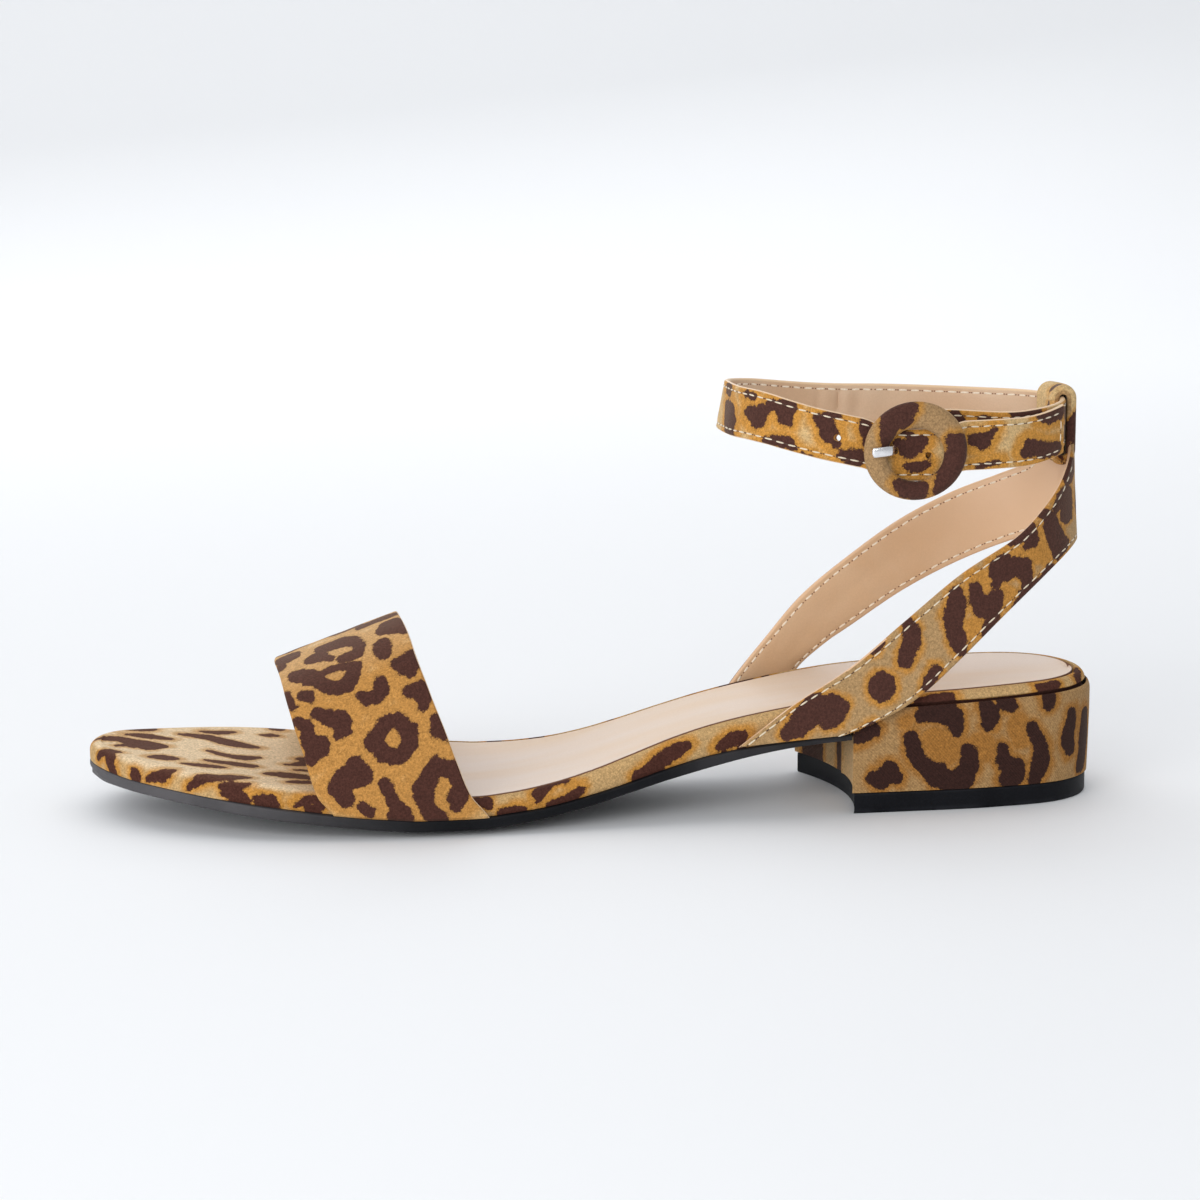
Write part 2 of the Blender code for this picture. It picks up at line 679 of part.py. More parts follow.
# -------------------------------------------------------------------- buckle
tip_face = -(ANKLE_HALF_WIDTH + TIP_STEP + STRAP_WALL / 2)
RING_Y = tip_face - 0.15 - RING_HALF_THICK
verts, faces = [], []
around, about = 36, 12
for i in range(around):
    a = 2 * math.pi * i / around
    for k in range(about):
        b = 2 * math.pi * k / about
        r = RING_MID_RADIUS + RING_HALF_BAND * math.cos(b)
        verts.append((BUCKLE_S + r * math.cos(a), RING_Y + RING_HALF_THICK * math.sin(b), BUCKLE_Z + r * math.sin(a)))
for i in range(around):
    for k in range(about):
        n, m = (i + 1) % around, (k + 1) % about
        faces.append((i * about + k, n * about + k, n * about + m, i * about + m))
ring = piece("buckle_ring", verts, faces, material("buckle_fabric", (0.50, 0.32, 0.14), 0.8))

reach = RING_MID_RADIUS - 0.6
corner = 1.2
bar_path = through([(BUCKLE_S, RING_Y - 0.2, BUCKLE_Z + reach), (BUCKLE_S, RING_Y + 2.4, BUCKLE_Z + reach - 0.5),
                    (BUCKLE_S, BAR_Y - corner, BUCKLE_Z + reach - 1.4), (BUCKLE_S, BAR_Y, BUCKLE_Z + reach - 2.6),
                    (BUCKLE_S, BAR_Y, BUCKLE_Z), (BUCKLE_S, BAR_Y, BUCKLE_Z - reach + 2.6),
                    (BUCKLE_S, BAR_Y - corner, BUCKLE_Z - reach + 1.4), (BUCKLE_S, RING_Y + 2.4, BUCKLE_Z - reach + 0.5),
                    (BUCKLE_S, RING_Y - 0.2, BUCKLE_Z - reach)], 3)
combine(ring, swept("centre_bar_form", bar_path, round_section(BAR_RADIUS), helper=True), "UNION")

PRONG_HALF_THICK = 0.5
PRONG_HALF_WIDTH = 1.2
over = RING_Y - RING_HALF_THICK - GAP - PRONG_HALF_THICK
prong_path = through([(BUCKLE_S + 3.3, tip_face + 3.3, BUCKLE_Z - 0.2), (BUCKLE_S + 4.4, tip_face + 0.8, BUCKLE_Z - 0.2),
                      (BUCKLE_S + 5.8, over + 1.0, BUCKLE_Z - 0.2), (BUCKLE_S + 7.4, over, BUCKLE_Z - 0.3),
                      (BUCKLE_S + 9.2, over, BUCKLE_Z - 0.5), (BUCKLE_S + 11.0, over + 0.25, BUCKLE_Z - 0.7)], 3)
flat = [(PRONG_HALF_THICK * x, PRONG_HALF_WIDTH * z) for x, z in
        ((1, -0.6), (1, 0.6), (0.5, 1), (-0.5, 1), (-1, 0.6), (-1, -0.6), (-0.5, -1), (0.5, -1))]
swept("buckle_prong", prong_path, flat, material("prong_metal", (0.55, 0.54, 0.52), 0.3, 1.0))

hole_path = through([(BUCKLE_S + 3.0, tip_face + 4.4, BUCKLE_Z - 0.2), (BUCKLE_S + 4.6, tip_face + 0.6, BUCKLE_Z - 0.2),
                     (BUCKLE_S + 6.1, tip_face - 3.0, BUCKLE_Z - 0.2)], 2)
punch = swept("prong_hole_cutter", hole_path, [(1.25 * x, 1.65 * z) for x, z in
                                               ((1, -0.6), (1, 0.6), (0.5, 1), (-0.5, 1), (-1, 0.6), (-1, -0.6), (-0.5, -1), (0.5, -1))],
              helper=True)
combine(ankle, punch, "DIFFERENCE")

# ------------------------------------------------- origin at the bottom centre
bpy.context.view_layer.update()
graph = bpy.context.evaluated_depsgraph_get()
low = np.full(3, 1e9)
high = np.full(3, -1e9)
for ob in bpy.data.objects:
    if ob.type == "MESH" and not ob.hide_render:
        shown = ob.evaluated_get(graph)
        for v in shown.data.vertices:
            p = np.array(shown.matrix_world @ v.co)
            low, high = np.minimum(low, p), np.maximum(high, p)
shift = np.array((-(low[0] + high[0]) / 2, -(low[1] + high[1]) / 2, -low[2]))
root.location = shift.tolist()
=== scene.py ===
"""Looks of the left dress sandal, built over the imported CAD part.

Shoe axes in the tables, in millimetres: s from the back of the heel seat toward
the toe, y minus on the outer side, z up. World X = SHIFT_S - s, Y = y + SHIFT_Y.
"""

import json
import math

import bmesh
import bpy
import numpy as np
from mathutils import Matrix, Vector

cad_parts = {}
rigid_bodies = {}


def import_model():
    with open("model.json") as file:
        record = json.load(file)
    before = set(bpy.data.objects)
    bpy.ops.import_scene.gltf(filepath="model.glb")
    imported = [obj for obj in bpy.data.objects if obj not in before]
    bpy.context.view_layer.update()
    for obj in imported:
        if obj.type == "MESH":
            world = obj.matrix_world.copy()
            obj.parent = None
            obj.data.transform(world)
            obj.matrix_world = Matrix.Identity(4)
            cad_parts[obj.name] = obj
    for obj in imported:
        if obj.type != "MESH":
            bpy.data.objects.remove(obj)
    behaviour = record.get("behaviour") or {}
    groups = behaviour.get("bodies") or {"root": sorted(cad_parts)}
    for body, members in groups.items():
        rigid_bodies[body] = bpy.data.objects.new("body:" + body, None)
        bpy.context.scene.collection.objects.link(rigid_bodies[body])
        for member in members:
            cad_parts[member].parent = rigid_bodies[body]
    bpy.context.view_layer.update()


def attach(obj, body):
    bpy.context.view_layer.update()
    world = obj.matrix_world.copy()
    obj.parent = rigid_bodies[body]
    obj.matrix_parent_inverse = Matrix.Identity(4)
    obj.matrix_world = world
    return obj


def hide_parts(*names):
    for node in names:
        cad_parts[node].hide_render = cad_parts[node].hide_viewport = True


SHIFT_S, SHIFT_Y = 125.85, -4.58

OUTLINE = (
    (1.2, 0.0, 0.0), (4.6, -13.0, 13.2), (13.6, -21.5, 21.7), (32.0, -25.6, 25.7),
    (58.0, -26.4, 24.6), (84.0, -26.4, 20.2), (108.0, -27.4, 19.0), (130.0, -30.2, 25.2),
    (152.0, -32.8, 35.4), (175.0, -33.6, 41.6), (198.0, -31.6, 42.8), (218.0, -26.2, 41.2),
    (234.0, -17.0, 36.4), (245.0, -4.8, 30.6), (251.6, 15.0, 15.0),
)
PROFILE = (
    (-4.0, 19.4, 22.6, 31.0), (15.0, 19.4, 22.6, 30.5), (40.0, 18.7, 22.0, 29.5), (60.0, 17.4, 20.4, 28.7),
    (75.0, 16.3, 19.2, 27.4), (90.0, 14.4, 17.7, 25.1), (100.0, 12.6, 16.1, 23.0), (110.0, 10.1, 13.7, 20.2),
    (120.0, 7.1, 10.8, 16.8), (130.0, 4.3, 8.2, 13.5), (140.0, 2.2, 6.1, 11.0), (150.0, 0.7, 4.9, 9.4),
    (158.0, 0.0, 4.3, 8.8), (171.0, 0.0, 4.3, 8.9), (180.0, 0.6, 4.9, 9.5), (190.0, 1.6, 5.8, 10.4),
    (205.0, 3.1, 7.4, 12.4), (220.0, 4.8, 9.1, 14.0), (235.0, 6.5, 10.7, 15.2), (256.0, 7.7, 12.1, 16.9),
)
VAMP = (
    (0.00, 195.8, 158.6), (0.03, 199.4, 163.0), (0.08, 201.2, 166.0), (0.14, 202.6, 168.6),
    (0.22, 204.3, 171.6), (0.34, 205.6, 174.3), (0.50, 206.0, 175.2), (0.67, 202.0, 172.2),
    (0.80, 197.6, 167.6), (0.92, 193.6, 162.6), (1.00, 191.0, 159.0),
)
SLING_OUTER = (
    (96.5, -28.0, None, 70.6, -29.0, None), (90.0, -28.1, 22.9, 63.4, -29.6, 23.0),
    (83.3, -28.2, 27.9, 57.0, -29.5, 25.8), (68.8, -28.2, 36.9, 50.0, -28.7, 30.2),
    (55.0, -27.7, 47.9, 40.0, -27.3, 38.6), (41.0, -27.0, 58.9, 30.0, -25.7, 47.6),
    (25.5, -23.9, 67.7, 17.0, -20.7, 57.8), (17.6, -20.0, 74.2, 11.5, -16.2, 61.2),
    (12.0, -14.6, 79.5, 7.9, -11.6, 63.0), (7.8, -8.6, 86.0, 5.6, -6.6, 63.8),
)
SLING_MIDDLE = (5.6, 0.0, 90.5, 4.8, 0.0, 64.2)
SLING_INNER = (
    (92.0, 21.4, None, 75.0, 22.9, None), (87.5, 21.7, 25.0, 69.0, 25.2, 27.5),
    (78.2, 24.0, 35.5, 62.0, 26.4, 33.0), (68.2, 26.2, 46.0, 54.7, 27.5, 37.4),
    (55.0, 27.3, 56.2, 41.5, 27.3, 46.0), (42.0, 26.8, 65.2, 30.0, 25.6, 52.4),
    (29.0, 24.7, 72.2, 19.1, 21.7, 57.8), (17.4, 19.6, 77.5, 11.5, 16.2, 61.4),
    (11.2, 13.8, 81.2, 7.9, 11.6, 63.0), (7.8, 8.6, 86.0, 5.6, 6.6, 63.8),
)
ANKLE_RISE = (
    (30.0, 93.4), (60.0, 91.0), (90.0, 90.9), (112.0, 93.8), (128.0, 96.0), (145.0, 97.5), (162.0, 98.0), (180.0, 98.0),
    (225.0, 97.0), (270.0, 94.5), (315.0, 93.6), (360.0, 93.7), (400.0, 92.7), (460.0, 90.1),
)
GAP, SKEW = 0.3, 0.10
TIP_DIP, TIP_WIDE, UNDER_RISE, FOLD_ON = 1.9, 0.05, 2.4, 3.2
RING_WIDE, RING_TALL, WINDOW_WIDE, WINDOW_TALL, WINDOW_DROP, RING_ON, RING_UP = 12.8, 11.95, 7.1, 6.45, 0.92, 0.45, 0.2
SOLE_MARGIN, SOLE_TOE_MARGIN, SOLE_ROLL = 1.2, 0.05, 1.5
EDGE_R, TOE_R = 2.4, 4.0
SOCK_RECESS, SOCK_THICK, SOCK_FRONT = 1.1, 0.9, 184.0
BREAST = {"outer": 67.6, "inner": 70.0}
HOLLOW = 4.6
HEEL_PROUD, HEEL_FOOT, RIM, LIFT = 1.3, 0.9, 2.85, 5.0
WALL = 1.5
STANDOFF = 0.35
SQUARE = 2.35
CREST_FRONT, CREST_REAR = 35.6, 47.2
ANKLE_W, ANKLE_C, ANKLE_HL, ANKLE_HW, ANKLE_SQ, ANKLE_SQ_FRONT, TIP_STEP = 12.2, 51.0, 42.4, 27.0, 2.2, 3.0, 2.5
BUCKLE_S, BUCKLE_Z, RING_R, RING_B, RING_T, BAR_R = 53.8, 90.1, 9.6, 2.65, 1.9, 0.7
LOOP_S, LOOP_Z, LOOP_T, LOOP_H, LOOP_W, LOOP_WALL, LOOP_BEND = 8.1, 92.6, 3.3, 10.0, 12.4, 2.3, 17.0


# ------------------------------------------------------------------ curves
def monotone(xs, ys):
    xs, ys = np.asarray(xs, float), np.asarray(ys, float)
    h = np.diff(xs)
    d = np.diff(ys) / h
    m = np.zeros_like(ys)
    m[0], m[-1] = d[0], d[-1]
    for i in range(1, len(xs) - 1):
        if d[i - 1] * d[i] > 0:
            w1, w2 = 2 * h[i] + h[i - 1], h[i] + 2 * h[i - 1]
            m[i] = (w1 + w2) / (w1 / d[i - 1] + w2 / d[i])

    def at(x):
        x = np.clip(np.asarray(x, float), xs[0], xs[-1])
        k = np.clip(np.searchsorted(xs, x, side="right") - 1, 0, len(h) - 1)
        t = (x - xs[k]) / h[k]
        return ((2 * t ** 3 - 3 * t ** 2 + 1) * ys[k] + (t ** 3 - 2 * t ** 2 + t) * h[k] * m[k]
                + (3 * t ** 2 - 2 * t ** 3) * ys[k + 1] + (t ** 3 - t ** 2) * h[k] * m[k + 1])
    return at


def through(points, per_span, closed=False):
    pts = np.asarray(points, float)
    if closed:
        ext = np.vstack([pts[-1:], pts, pts[:2]])
    else:
        ext = np.vstack([2 * pts[:1] - pts[1:2], pts, 2 * pts[-1:] - pts[-2:-1]])
    out = []
    t = (np.arange(per_span) / per_span)[:, None]
    for i in range(1, len(ext) - 2):
        p0, p1, p2, p3 = ext[i - 1:i + 3]
        a, b, c = (max(np.linalg.norm(q - p), 1e-6) ** 0.5 for p, q in ((p0, p1), (p1, p2), (p2, p3)))
        m1 = (p1 - p0) / a - (p2 - p0) / (a + b) + (p2 - p1) / b
        m2 = (p2 - p1) / b - (p3 - p1) / (b + c) + (p3 - p2) / c
        out.append((2 * t ** 3 - 3 * t ** 2 + 1) * p1 + (t ** 3 - 2 * t ** 2 + t) * b * m1
                   + (3 * t ** 2 - 2 * t ** 3) * p2 + (t ** 3 - t ** 2) * b * m2)
    if not closed:
        out.append(pts[-1:])
    return np.vstack(out)


def run_of(path):
    return np.concatenate([[0.0], np.cumsum(np.linalg.norm(np.diff(path, axis=0), axis=1))])


def ramp(x, lo, hi):
    t = np.clip((np.asarray(x, float) - lo) / (hi - lo), 0.0, 1.0)
    return t * t * (3 - 2 * t)


def at_run(path, where):
    run = run_of(path)
    return np.stack([np.interp(where, run, path[:, k]) for k in range(path.shape[1])], axis=1)


PROF = [monotone([r[0] for r in PROFILE], [r[i] for r in PROFILE]) for i in (1, 2, 3)]


def sole_under(s, y):
    return PROF[0](s + SKEW * y)


def bed_under(s, y):
    return PROF[1](s + SKEW * y)


def bed_top(s, y):
    return PROF[2](s + SKEW * y)


_rows = [np.array((r[0], r[1])) for r in OUTLINE] + [np.array((r[0], r[2])) for r in OUTLINE[-2:0:-1]]
EDGE = through(_rows, 24, closed=True)
_tan = np.roll(EDGE, -1, axis=0) - np.roll(EDGE, 1, axis=0)
_tan /= np.linalg.norm(_tan, axis=1)[:, None]
_out = np.stack([-_tan[:, 1], _tan[:, 0]], axis=1)
if _out[0, 0] > 0:
    _out = -_out
_toe = 24 * (len(OUTLINE) - 1)
_wrap = np.arange(len(EDGE), _toe - 1, -1) % len(EDGE)
BRANCH = {"outer": (EDGE[:_toe + 1], _out[:_toe + 1]), "inner": (EDGE[_wrap], _out[_wrap])}


def fraction_at(side, s):
    pts = BRANCH[side][0]
    run = run_of(pts)
    return float(np.interp(s, pts[:, 0], run / run[-1]))


def edge_points(side, offset, fr):
    pts, out = BRANCH[side]
    run = run_of(pts)
    run = run / run[-1]
    base = np.stack([np.interp(fr, run, pts[:, k]) for k in (0, 1)], axis=1)
    nrm = np.stack([np.interp(fr, run, out[:, k]) for k in (0, 1)], axis=1)
    nrm /= np.linalg.norm(nrm, axis=1)[:, None]
    return base + nrm * np.broadcast_to(np.asarray(offset, float), np.shape(fr))[:, None]


def edge_y(side, s):
    pts = BRANCH[side][0]
    return np.interp(s, pts[:, 0], pts[:, 1])


def crowded(count, power=0.62):
    """Fractions from 0 to 1, close together at both ends."""
    t = np.linspace(0, 1, count + 1)
    return (1 - power) * t + power * 0.5 * (1 - np.cos(math.pi * t))


def radius_at(s):
    return EDGE_R + (TOE_R - EDGE_R) * ramp(s, 196.0, 226.0) - (TOE_R - 2.3) * ramp(s, 241.0, 250.0)


def recess(s, y):
    return SOCK_RECESS * (1 - ramp(s + SKEW * y, SOCK_FRONT + 1.5, SOCK_FRONT + 6.5))


def dish(s, y):
    return 1.2 - 0.8 * ramp(s + SKEW * y, 70.0, 150.0)


def bed_floor(s, y, f):
    return bed_top(s, y) - recess(s, y) - dish(s, y) * 4 * f * (1 - f)


# ------------------------------------------------- surfaces, with print places
def normals_of(grid):
    a = np.gradient(grid, axis=0)
    b = np.gradient(grid, axis=1)
    n = np.cross(a, b)
    return n / np.maximum(np.linalg.norm(n, axis=2), 1e-9)[..., None]


def across_steps(width, step, edge=0.75):
    """Distances across a strap, close together at its two rolled edges."""
    near = np.array((0.0, 0.03, 0.1, 0.22, 0.4, 0.6, edge))
    mid = np.linspace(edge, width - edge, max(4, int((width - 2 * edge) / step)) + 1)[1:-1]
    return np.concatenate([near, mid, width - near[::-1]])


def vamp_surface(rows=300, step=0.55):
    """Middle surface of the vamp band; print place is length round and across."""
    u = crowded(rows, 0.25)
    v = across_steps(36.0, step) / 36.0
    fr = monotone([r[0] for r in VAMP], [r[1] for r in VAMP])(u)
    rr = monotone([r[0] for r in VAMP], [r[2] for r in VAMP])(u)
    s = fr[:, None] + (rr - fr)[:, None] * v[None, :]
    off = STANDOFF + WALL / 2
    y_out, y_in = edge_y("outer", s) - off, edge_y("inner", s) + off
    c, h = np.cos(np.pi * u)[:, None], np.sin(np.pi * u)[:, None]
    across = np.sign(c) * np.abs(c) ** (2 / SQUARE)
    up = np.maximum(h, 0) ** (2 / SQUARE)
    y = (y_out + y_in) / 2 - (y_in - y_out) / 2 * across
    foot = np.where(u[:, None] < 0.5, bed_under(s, y_out), bed_under(s, y_in))
    crest = CREST_FRONT + (CREST_REAR - CREST_FRONT) * v[None, :]
    grid = np.stack([s, y, foot + (crest - foot) * up], axis=2)
    mid = len(v) // 2
    U = np.broadcast_to(run_of(grid[:, mid])[:, None], s.shape)
    V = np.broadcast_to(v[None, :] * 36.0, s.shape)
    return grid, U, V


def vamp_place(grid, U):
    """Where the print lies on the vamp: length round the foot, and back from the front edge."""
    return U, 206.0 - grid[..., 0]


def standing(row):
    us, uy, uz, ls, ly, lz = row
    uz = float(bed_under(us, uy)) + 0.8 if uz is None else uz
    lz = float(bed_under(ls, ly)) + 0.5 if lz is None else lz
    return us, uy, uz, ls, ly, lz


def sling_surface(per_span=14, step=0.5):
    """From the outer sole edge round the back to the inner one; across from the lower edge."""
    chain = [standing(r) for r in SLING_OUTER] + [SLING_MIDDLE] + [standing(r) for r in SLING_INNER[::-1]]
    upper = through([r[:3] for r in chain], per_span)
    lower = through([r[3:] for r in chain], per_span)
    f = across_steps(15.0, step) / 15.0
    grid = lower[:, None, :] + (upper - lower)[:, None, :] * f[None, :, None]
    middle = (upper + lower) / 2
    U = np.broadcast_to(run_of(middle)[:, None], grid.shape[:2])
    V = f[None, :] * np.linalg.norm(upper - lower, axis=1)[:, None]
    return grid, U, V


def sling_place(grid):
    """Where the print lies on the sling: length round the plan of its middle line, and height."""
    plan = (grid[:, 0, :2] + grid[:, -1, :2]) / 2
    reach = 25.0
    ends = [plan[0] - plan[2], plan[-1] - plan[-3]]
    plan = np.vstack([plan[0] + ends[0] / np.linalg.norm(ends[0]) * reach, plan, plan[-1] + ends[1] / np.linalg.norm(ends[1]) * reach])
    where = np.arange(0.0, run_of(plan)[-1], 0.3)
    fine = at_run(plan, where)
    flat = grid[..., :2].reshape(-1, 2)
    near = np.concatenate([np.argmin(((part[:, None, :] - fine[None, :, :]) ** 2).sum(axis=2), axis=1) for part in np.array_split(flat, 40)])
    step = fine[np.minimum(near + 1, len(fine) - 1)] - fine[np.maximum(near - 1, 0)]
    step /= np.linalg.norm(step, axis=1)[:, None]
    U = where[near] + ((flat - fine[near]) * step).sum(axis=1) - reach
    return U.reshape(grid.shape[:2]), grid[..., 2]


def ring_point(turn, outset):
    a = np.radians(turn)
    c, h = -np.cos(a), -np.sin(a)
    e = 2 / np.where(c > 0, ANKLE_SQ_FRONT, ANKLE_SQ)
    return (ANKLE_C + (ANKLE_HL + outset) * np.sign(c) * np.abs(c) ** e,
            (ANKLE_HW + outset) * np.sign(h) * np.abs(h) ** e)


BAR_Y = -(ANKLE_HW + TIP_STEP - WALL / 2 - GAP - WALL - GAP - BAR_R)
FOLD_R = BAR_R + GAP + WALL / 2
TIP_FACE = -(ANKLE_HW + TIP_STEP + WALL / 2)
RING_Y = TIP_FACE - 0.15 - RING_T


def ankle_plan(per_span=6):
    z = monotone([r[0] for r in ANKLE_RISE], [r[1] for r in ANKLE_RISE])
    plan = []
    for turn in np.concatenate([np.arange(33, 140, 5.0), np.arange(140, 361, 6.0), np.arange(365, 409, 5.0)]):
        step = TIP_STEP * (1 - float(ramp(turn, 112.0, 158.0))) * float(ramp(turn, 0.0, 30.0))
        plan.append((*ring_point(turn, step if turn < 200 else 0.0), float(z(turn))))
    end_s, under = plan[-1][0], BAR_Y + FOLD_R
    for k in np.linspace(0.2, 1.0, 5):
        turn = 408 + 42 * k
        ring_y = ring_point(turn, 0.0)[1]
        plan.append((end_s + (BUCKLE_S + FOLD_ON - end_s) * k, ring_y + (under - ring_y) * float(ramp(k, 0.0, 0.65)), float(z(turn))))
    for a in np.radians(np.arange(18, 181, 18)):
        plan.append((BUCKLE_S + FOLD_ON + FOLD_R * math.sin(a), BAR_Y + FOLD_R * math.cos(a), BUCKLE_Z))
    for back in (0.0, 3.0, 6.0, 9.0):
        plan.append((BUCKLE_S - back, BAR_Y - FOLD_R, BUCKLE_Z))
    return through(plan, per_span)


def ankle_surface(per_span=9, step=0.45):
    """From the free tip round the ankle to the fold over the bar; across from the lower edge."""
    plan = ankle_plan(per_span)
    run = run_of(plan)
    plan[:, 2] -= TIP_DIP * (1 - ramp(np.abs(run - 44.2), 5.0, 13.5))
    plan[:, 2] += UNDER_RISE * ramp(run, run[-1] - 52.0, run[-1] - 24.0)
    lean = np.exp(-((plan[:, 0] - ANKLE_C - ANKLE_HL) / 9.0) ** 2)
    across = across_steps(ANKLE_W, step)
    f = across / ANKLE_W - 0.5
    grid = plan[:, None, :] + np.zeros((1, len(f), 1))
    grid[..., 0] -= 2.2 * lean[:, None] * f[None, :]
    wide = 1 + TIP_WIDE * (1 - ramp(np.abs(run - 44.2), 5.0, 11.0))
    grid[..., 2] += ANKLE_W * f[None, :] * wide[:, None]
    U = np.broadcast_to(run_of(plan)[:, None], grid.shape[:2])
    V = np.broadcast_to(across[None, :], grid.shape[:2])
    return grid, U, V


def bed_surface(rows=430, across=72):
    """Wrapped footbed, from the outer lower edge over the top to the inner lower edge.

    The print place is the top laid flat with the side walls opened out along the edge's outward direction."""
    fr = crowded(rows, 0.72)
    rad = {}
    cols = []
    flat = {}
    for side in ("outer", "inner"):
        s0 = edge_points(side, 0.0, fr)[:, 0]
        rad[side] = radius_at(s0)
    def at(side, offset, z_of):
        p = edge_points(side, offset, fr)
        return np.column_stack([p, z_of(p[:, 0], p[:, 1])])
    def wall_side(side):
        r = rad[side]
        out, place = [], []
        base = at(side, 0.0, bed_under)
        height = bed_top(base[:, 0], base[:, 1]) - radius_at(base[:, 0]) - bed_under(base[:, 0], base[:, 1])
        def laid(length):
            p = edge_points(side, -r + length, fr)
            return p
        arc = r * math.pi / 2
        out.append(at(side, -0.6, bed_under)); place.append(laid(arc + height + 0.6))
        out.append(at(side, -0.15, lambda s, y: bed_under(s, y) + 0.1)); place.append(laid(arc + height))
        near_heel = ramp(base[:, 0], 76.0, 64.0)
        for k in np.linspace(0.0, 1.0, 8):
            tuck = 1.0 * float(np.interp(k, (0.0, 0.6, 0.75, 0.9, 1.0), (0.0, 0.2, 1.0, 1.0, 0.45)))
            out.append(at(side, -tuck * near_heel, lambda s, y, k=k: bed_under(s, y) + 0.6 + (bed_top(s, y) - radius_at(s) - bed_under(s, y) - 0.6) * k))
            place.append(laid(arc + height * (1 - k)))
        for a in np.radians(np.linspace(0, 90, 10))[1:]:
            out.append(at(side, -r * (1 - math.cos(a)), lambda s, y, a=a: bed_top(s, y) - radius_at(s) * (1 - math.sin(a))))
            place.append(laid(r * (math.pi / 2 - a)))
        return out, place
    o_pts, o_place = wall_side("outer")
    i_pts, i_place = wall_side("inner")
    po = edge_points("outer", -rad["outer"] - 0.5, fr)
    pi = edge_points("inner", -rad["inner"] - 0.5, fr)
    g, gp = list(o_pts), list(o_place)
    for f in np.linspace(0, 1, across + 1):
        p = po * (1 - f) + pi * f
        g.append(np.column_stack([p, bed_floor(p[:, 0], p[:, 1], f)]))
        gp.append(p)
    g += i_pts[::-1]
    gp += i_place[::-1]
    grid = np.stack(g, axis=1)
    place = np.stack(gp, axis=1)
    return grid, place[..., 0], place[..., 1]


def heel_rim(s, y):
    return bed_top(s, y) - RIM


def heel_path(pull=0.0, count=260):
    """Sides and fractions round the heel from the outer breast corner to the inner one."""
    a = fraction_at("outer", BREAST["outer"] - pull)
    b = fraction_at("inner", BREAST["inner"] - pull)
    half = count // 2
    return [("outer", a * (1 - crowded(half, 0.3))[:-1]), ("inner", b * crowded(half, 0.3))]


def heel_ring(offset, pull=0.0, count=260):
    return np.vstack([edge_points(side, offset, fr) for side, fr in heel_path(pull, count)])


def heel_breast(offset, pull=0.0, count=48):
    """Across the hollow heel front from the inner corner back to the outer one, corners left out."""
    a = edge_points("outer", offset, np.array([fraction_at("outer", BREAST["outer"] - pull)]))[0]
    b = edge_points("inner", offset, np.array([fraction_at("inner", BREAST["inner"] - pull)]))[0]
    f = np.linspace(1, 0, count + 1)[1:-1]
    p = a[None, :] * (1 - f)[:, None] + b[None, :] * f[:, None]
    p[:, 0] -= HOLLOW * 4 * f * (1 - f)
    return p


def heel_levels(count=34):
    """(offset, height) up the heel wall, as functions of the place."""
    out = []
    for k in np.linspace(0, 1, count):
        def z_of(s, y, k=k):
            return (LIFT + GAP) + (heel_rim(s, y) - 2.2 - LIFT - GAP) * k
        out.append((HEEL_FOOT + (HEEL_PROUD - HEEL_FOOT) * min(1.0, k / 0.75) ** 0.8, z_of))
    for a in np.radians(np.linspace(15, 90, 6)):
        out.append((HEEL_PROUD - 0.8 * (1 - math.cos(a)) - 0.0, lambda s, y, a=a: heel_rim(s, y) - 2.2 + 2.2 * math.sin(a)))
    return out


def heel_wall_surface(count=260):
    ring0 = heel_ring(HEEL_PROUD, 0.0, count)
    run = run_of(ring0)
    g, V = [], []
    for off, z_of in heel_levels():
        p = heel_ring(off, 0.0, count)
        z = z_of(p[:, 0], p[:, 1])
        g.append(np.column_stack([p, z]))
        V.append(z)
    grid = np.stack(g, axis=1)
    return grid, np.broadcast_to(run[:, None], grid.shape[:2]), np.stack(V, axis=1)


def ring_surface(around=200, about=44):
    """Padded ring, a little wider than high, thicker over the top of its window."""
    a = np.linspace(0, 2 * np.pi, around, endpoint=False)[:, None]
    b = np.linspace(0, 2 * np.pi, about, endpoint=False)[None, :]
    out_s, out_z = RING_WIDE * np.cos(a), RING_TALL * np.sin(a)
    in_s, in_z = WINDOW_WIDE * np.cos(a), WINDOW_TALL * np.sin(a) - WINDOW_DROP
    k = 0.5 + 0.5 * np.cos(b)
    grid = np.stack([BUCKLE_S + RING_ON + in_s + (out_s - in_s) * k, RING_Y + RING_T * np.sin(b) + 0 * a,
                     BUCKLE_Z + RING_UP + in_z + (out_z - in_z) * k], axis=2)
    return grid, grid[..., 0] - BUCKLE_S, grid[..., 2] - BUCKLE_Z


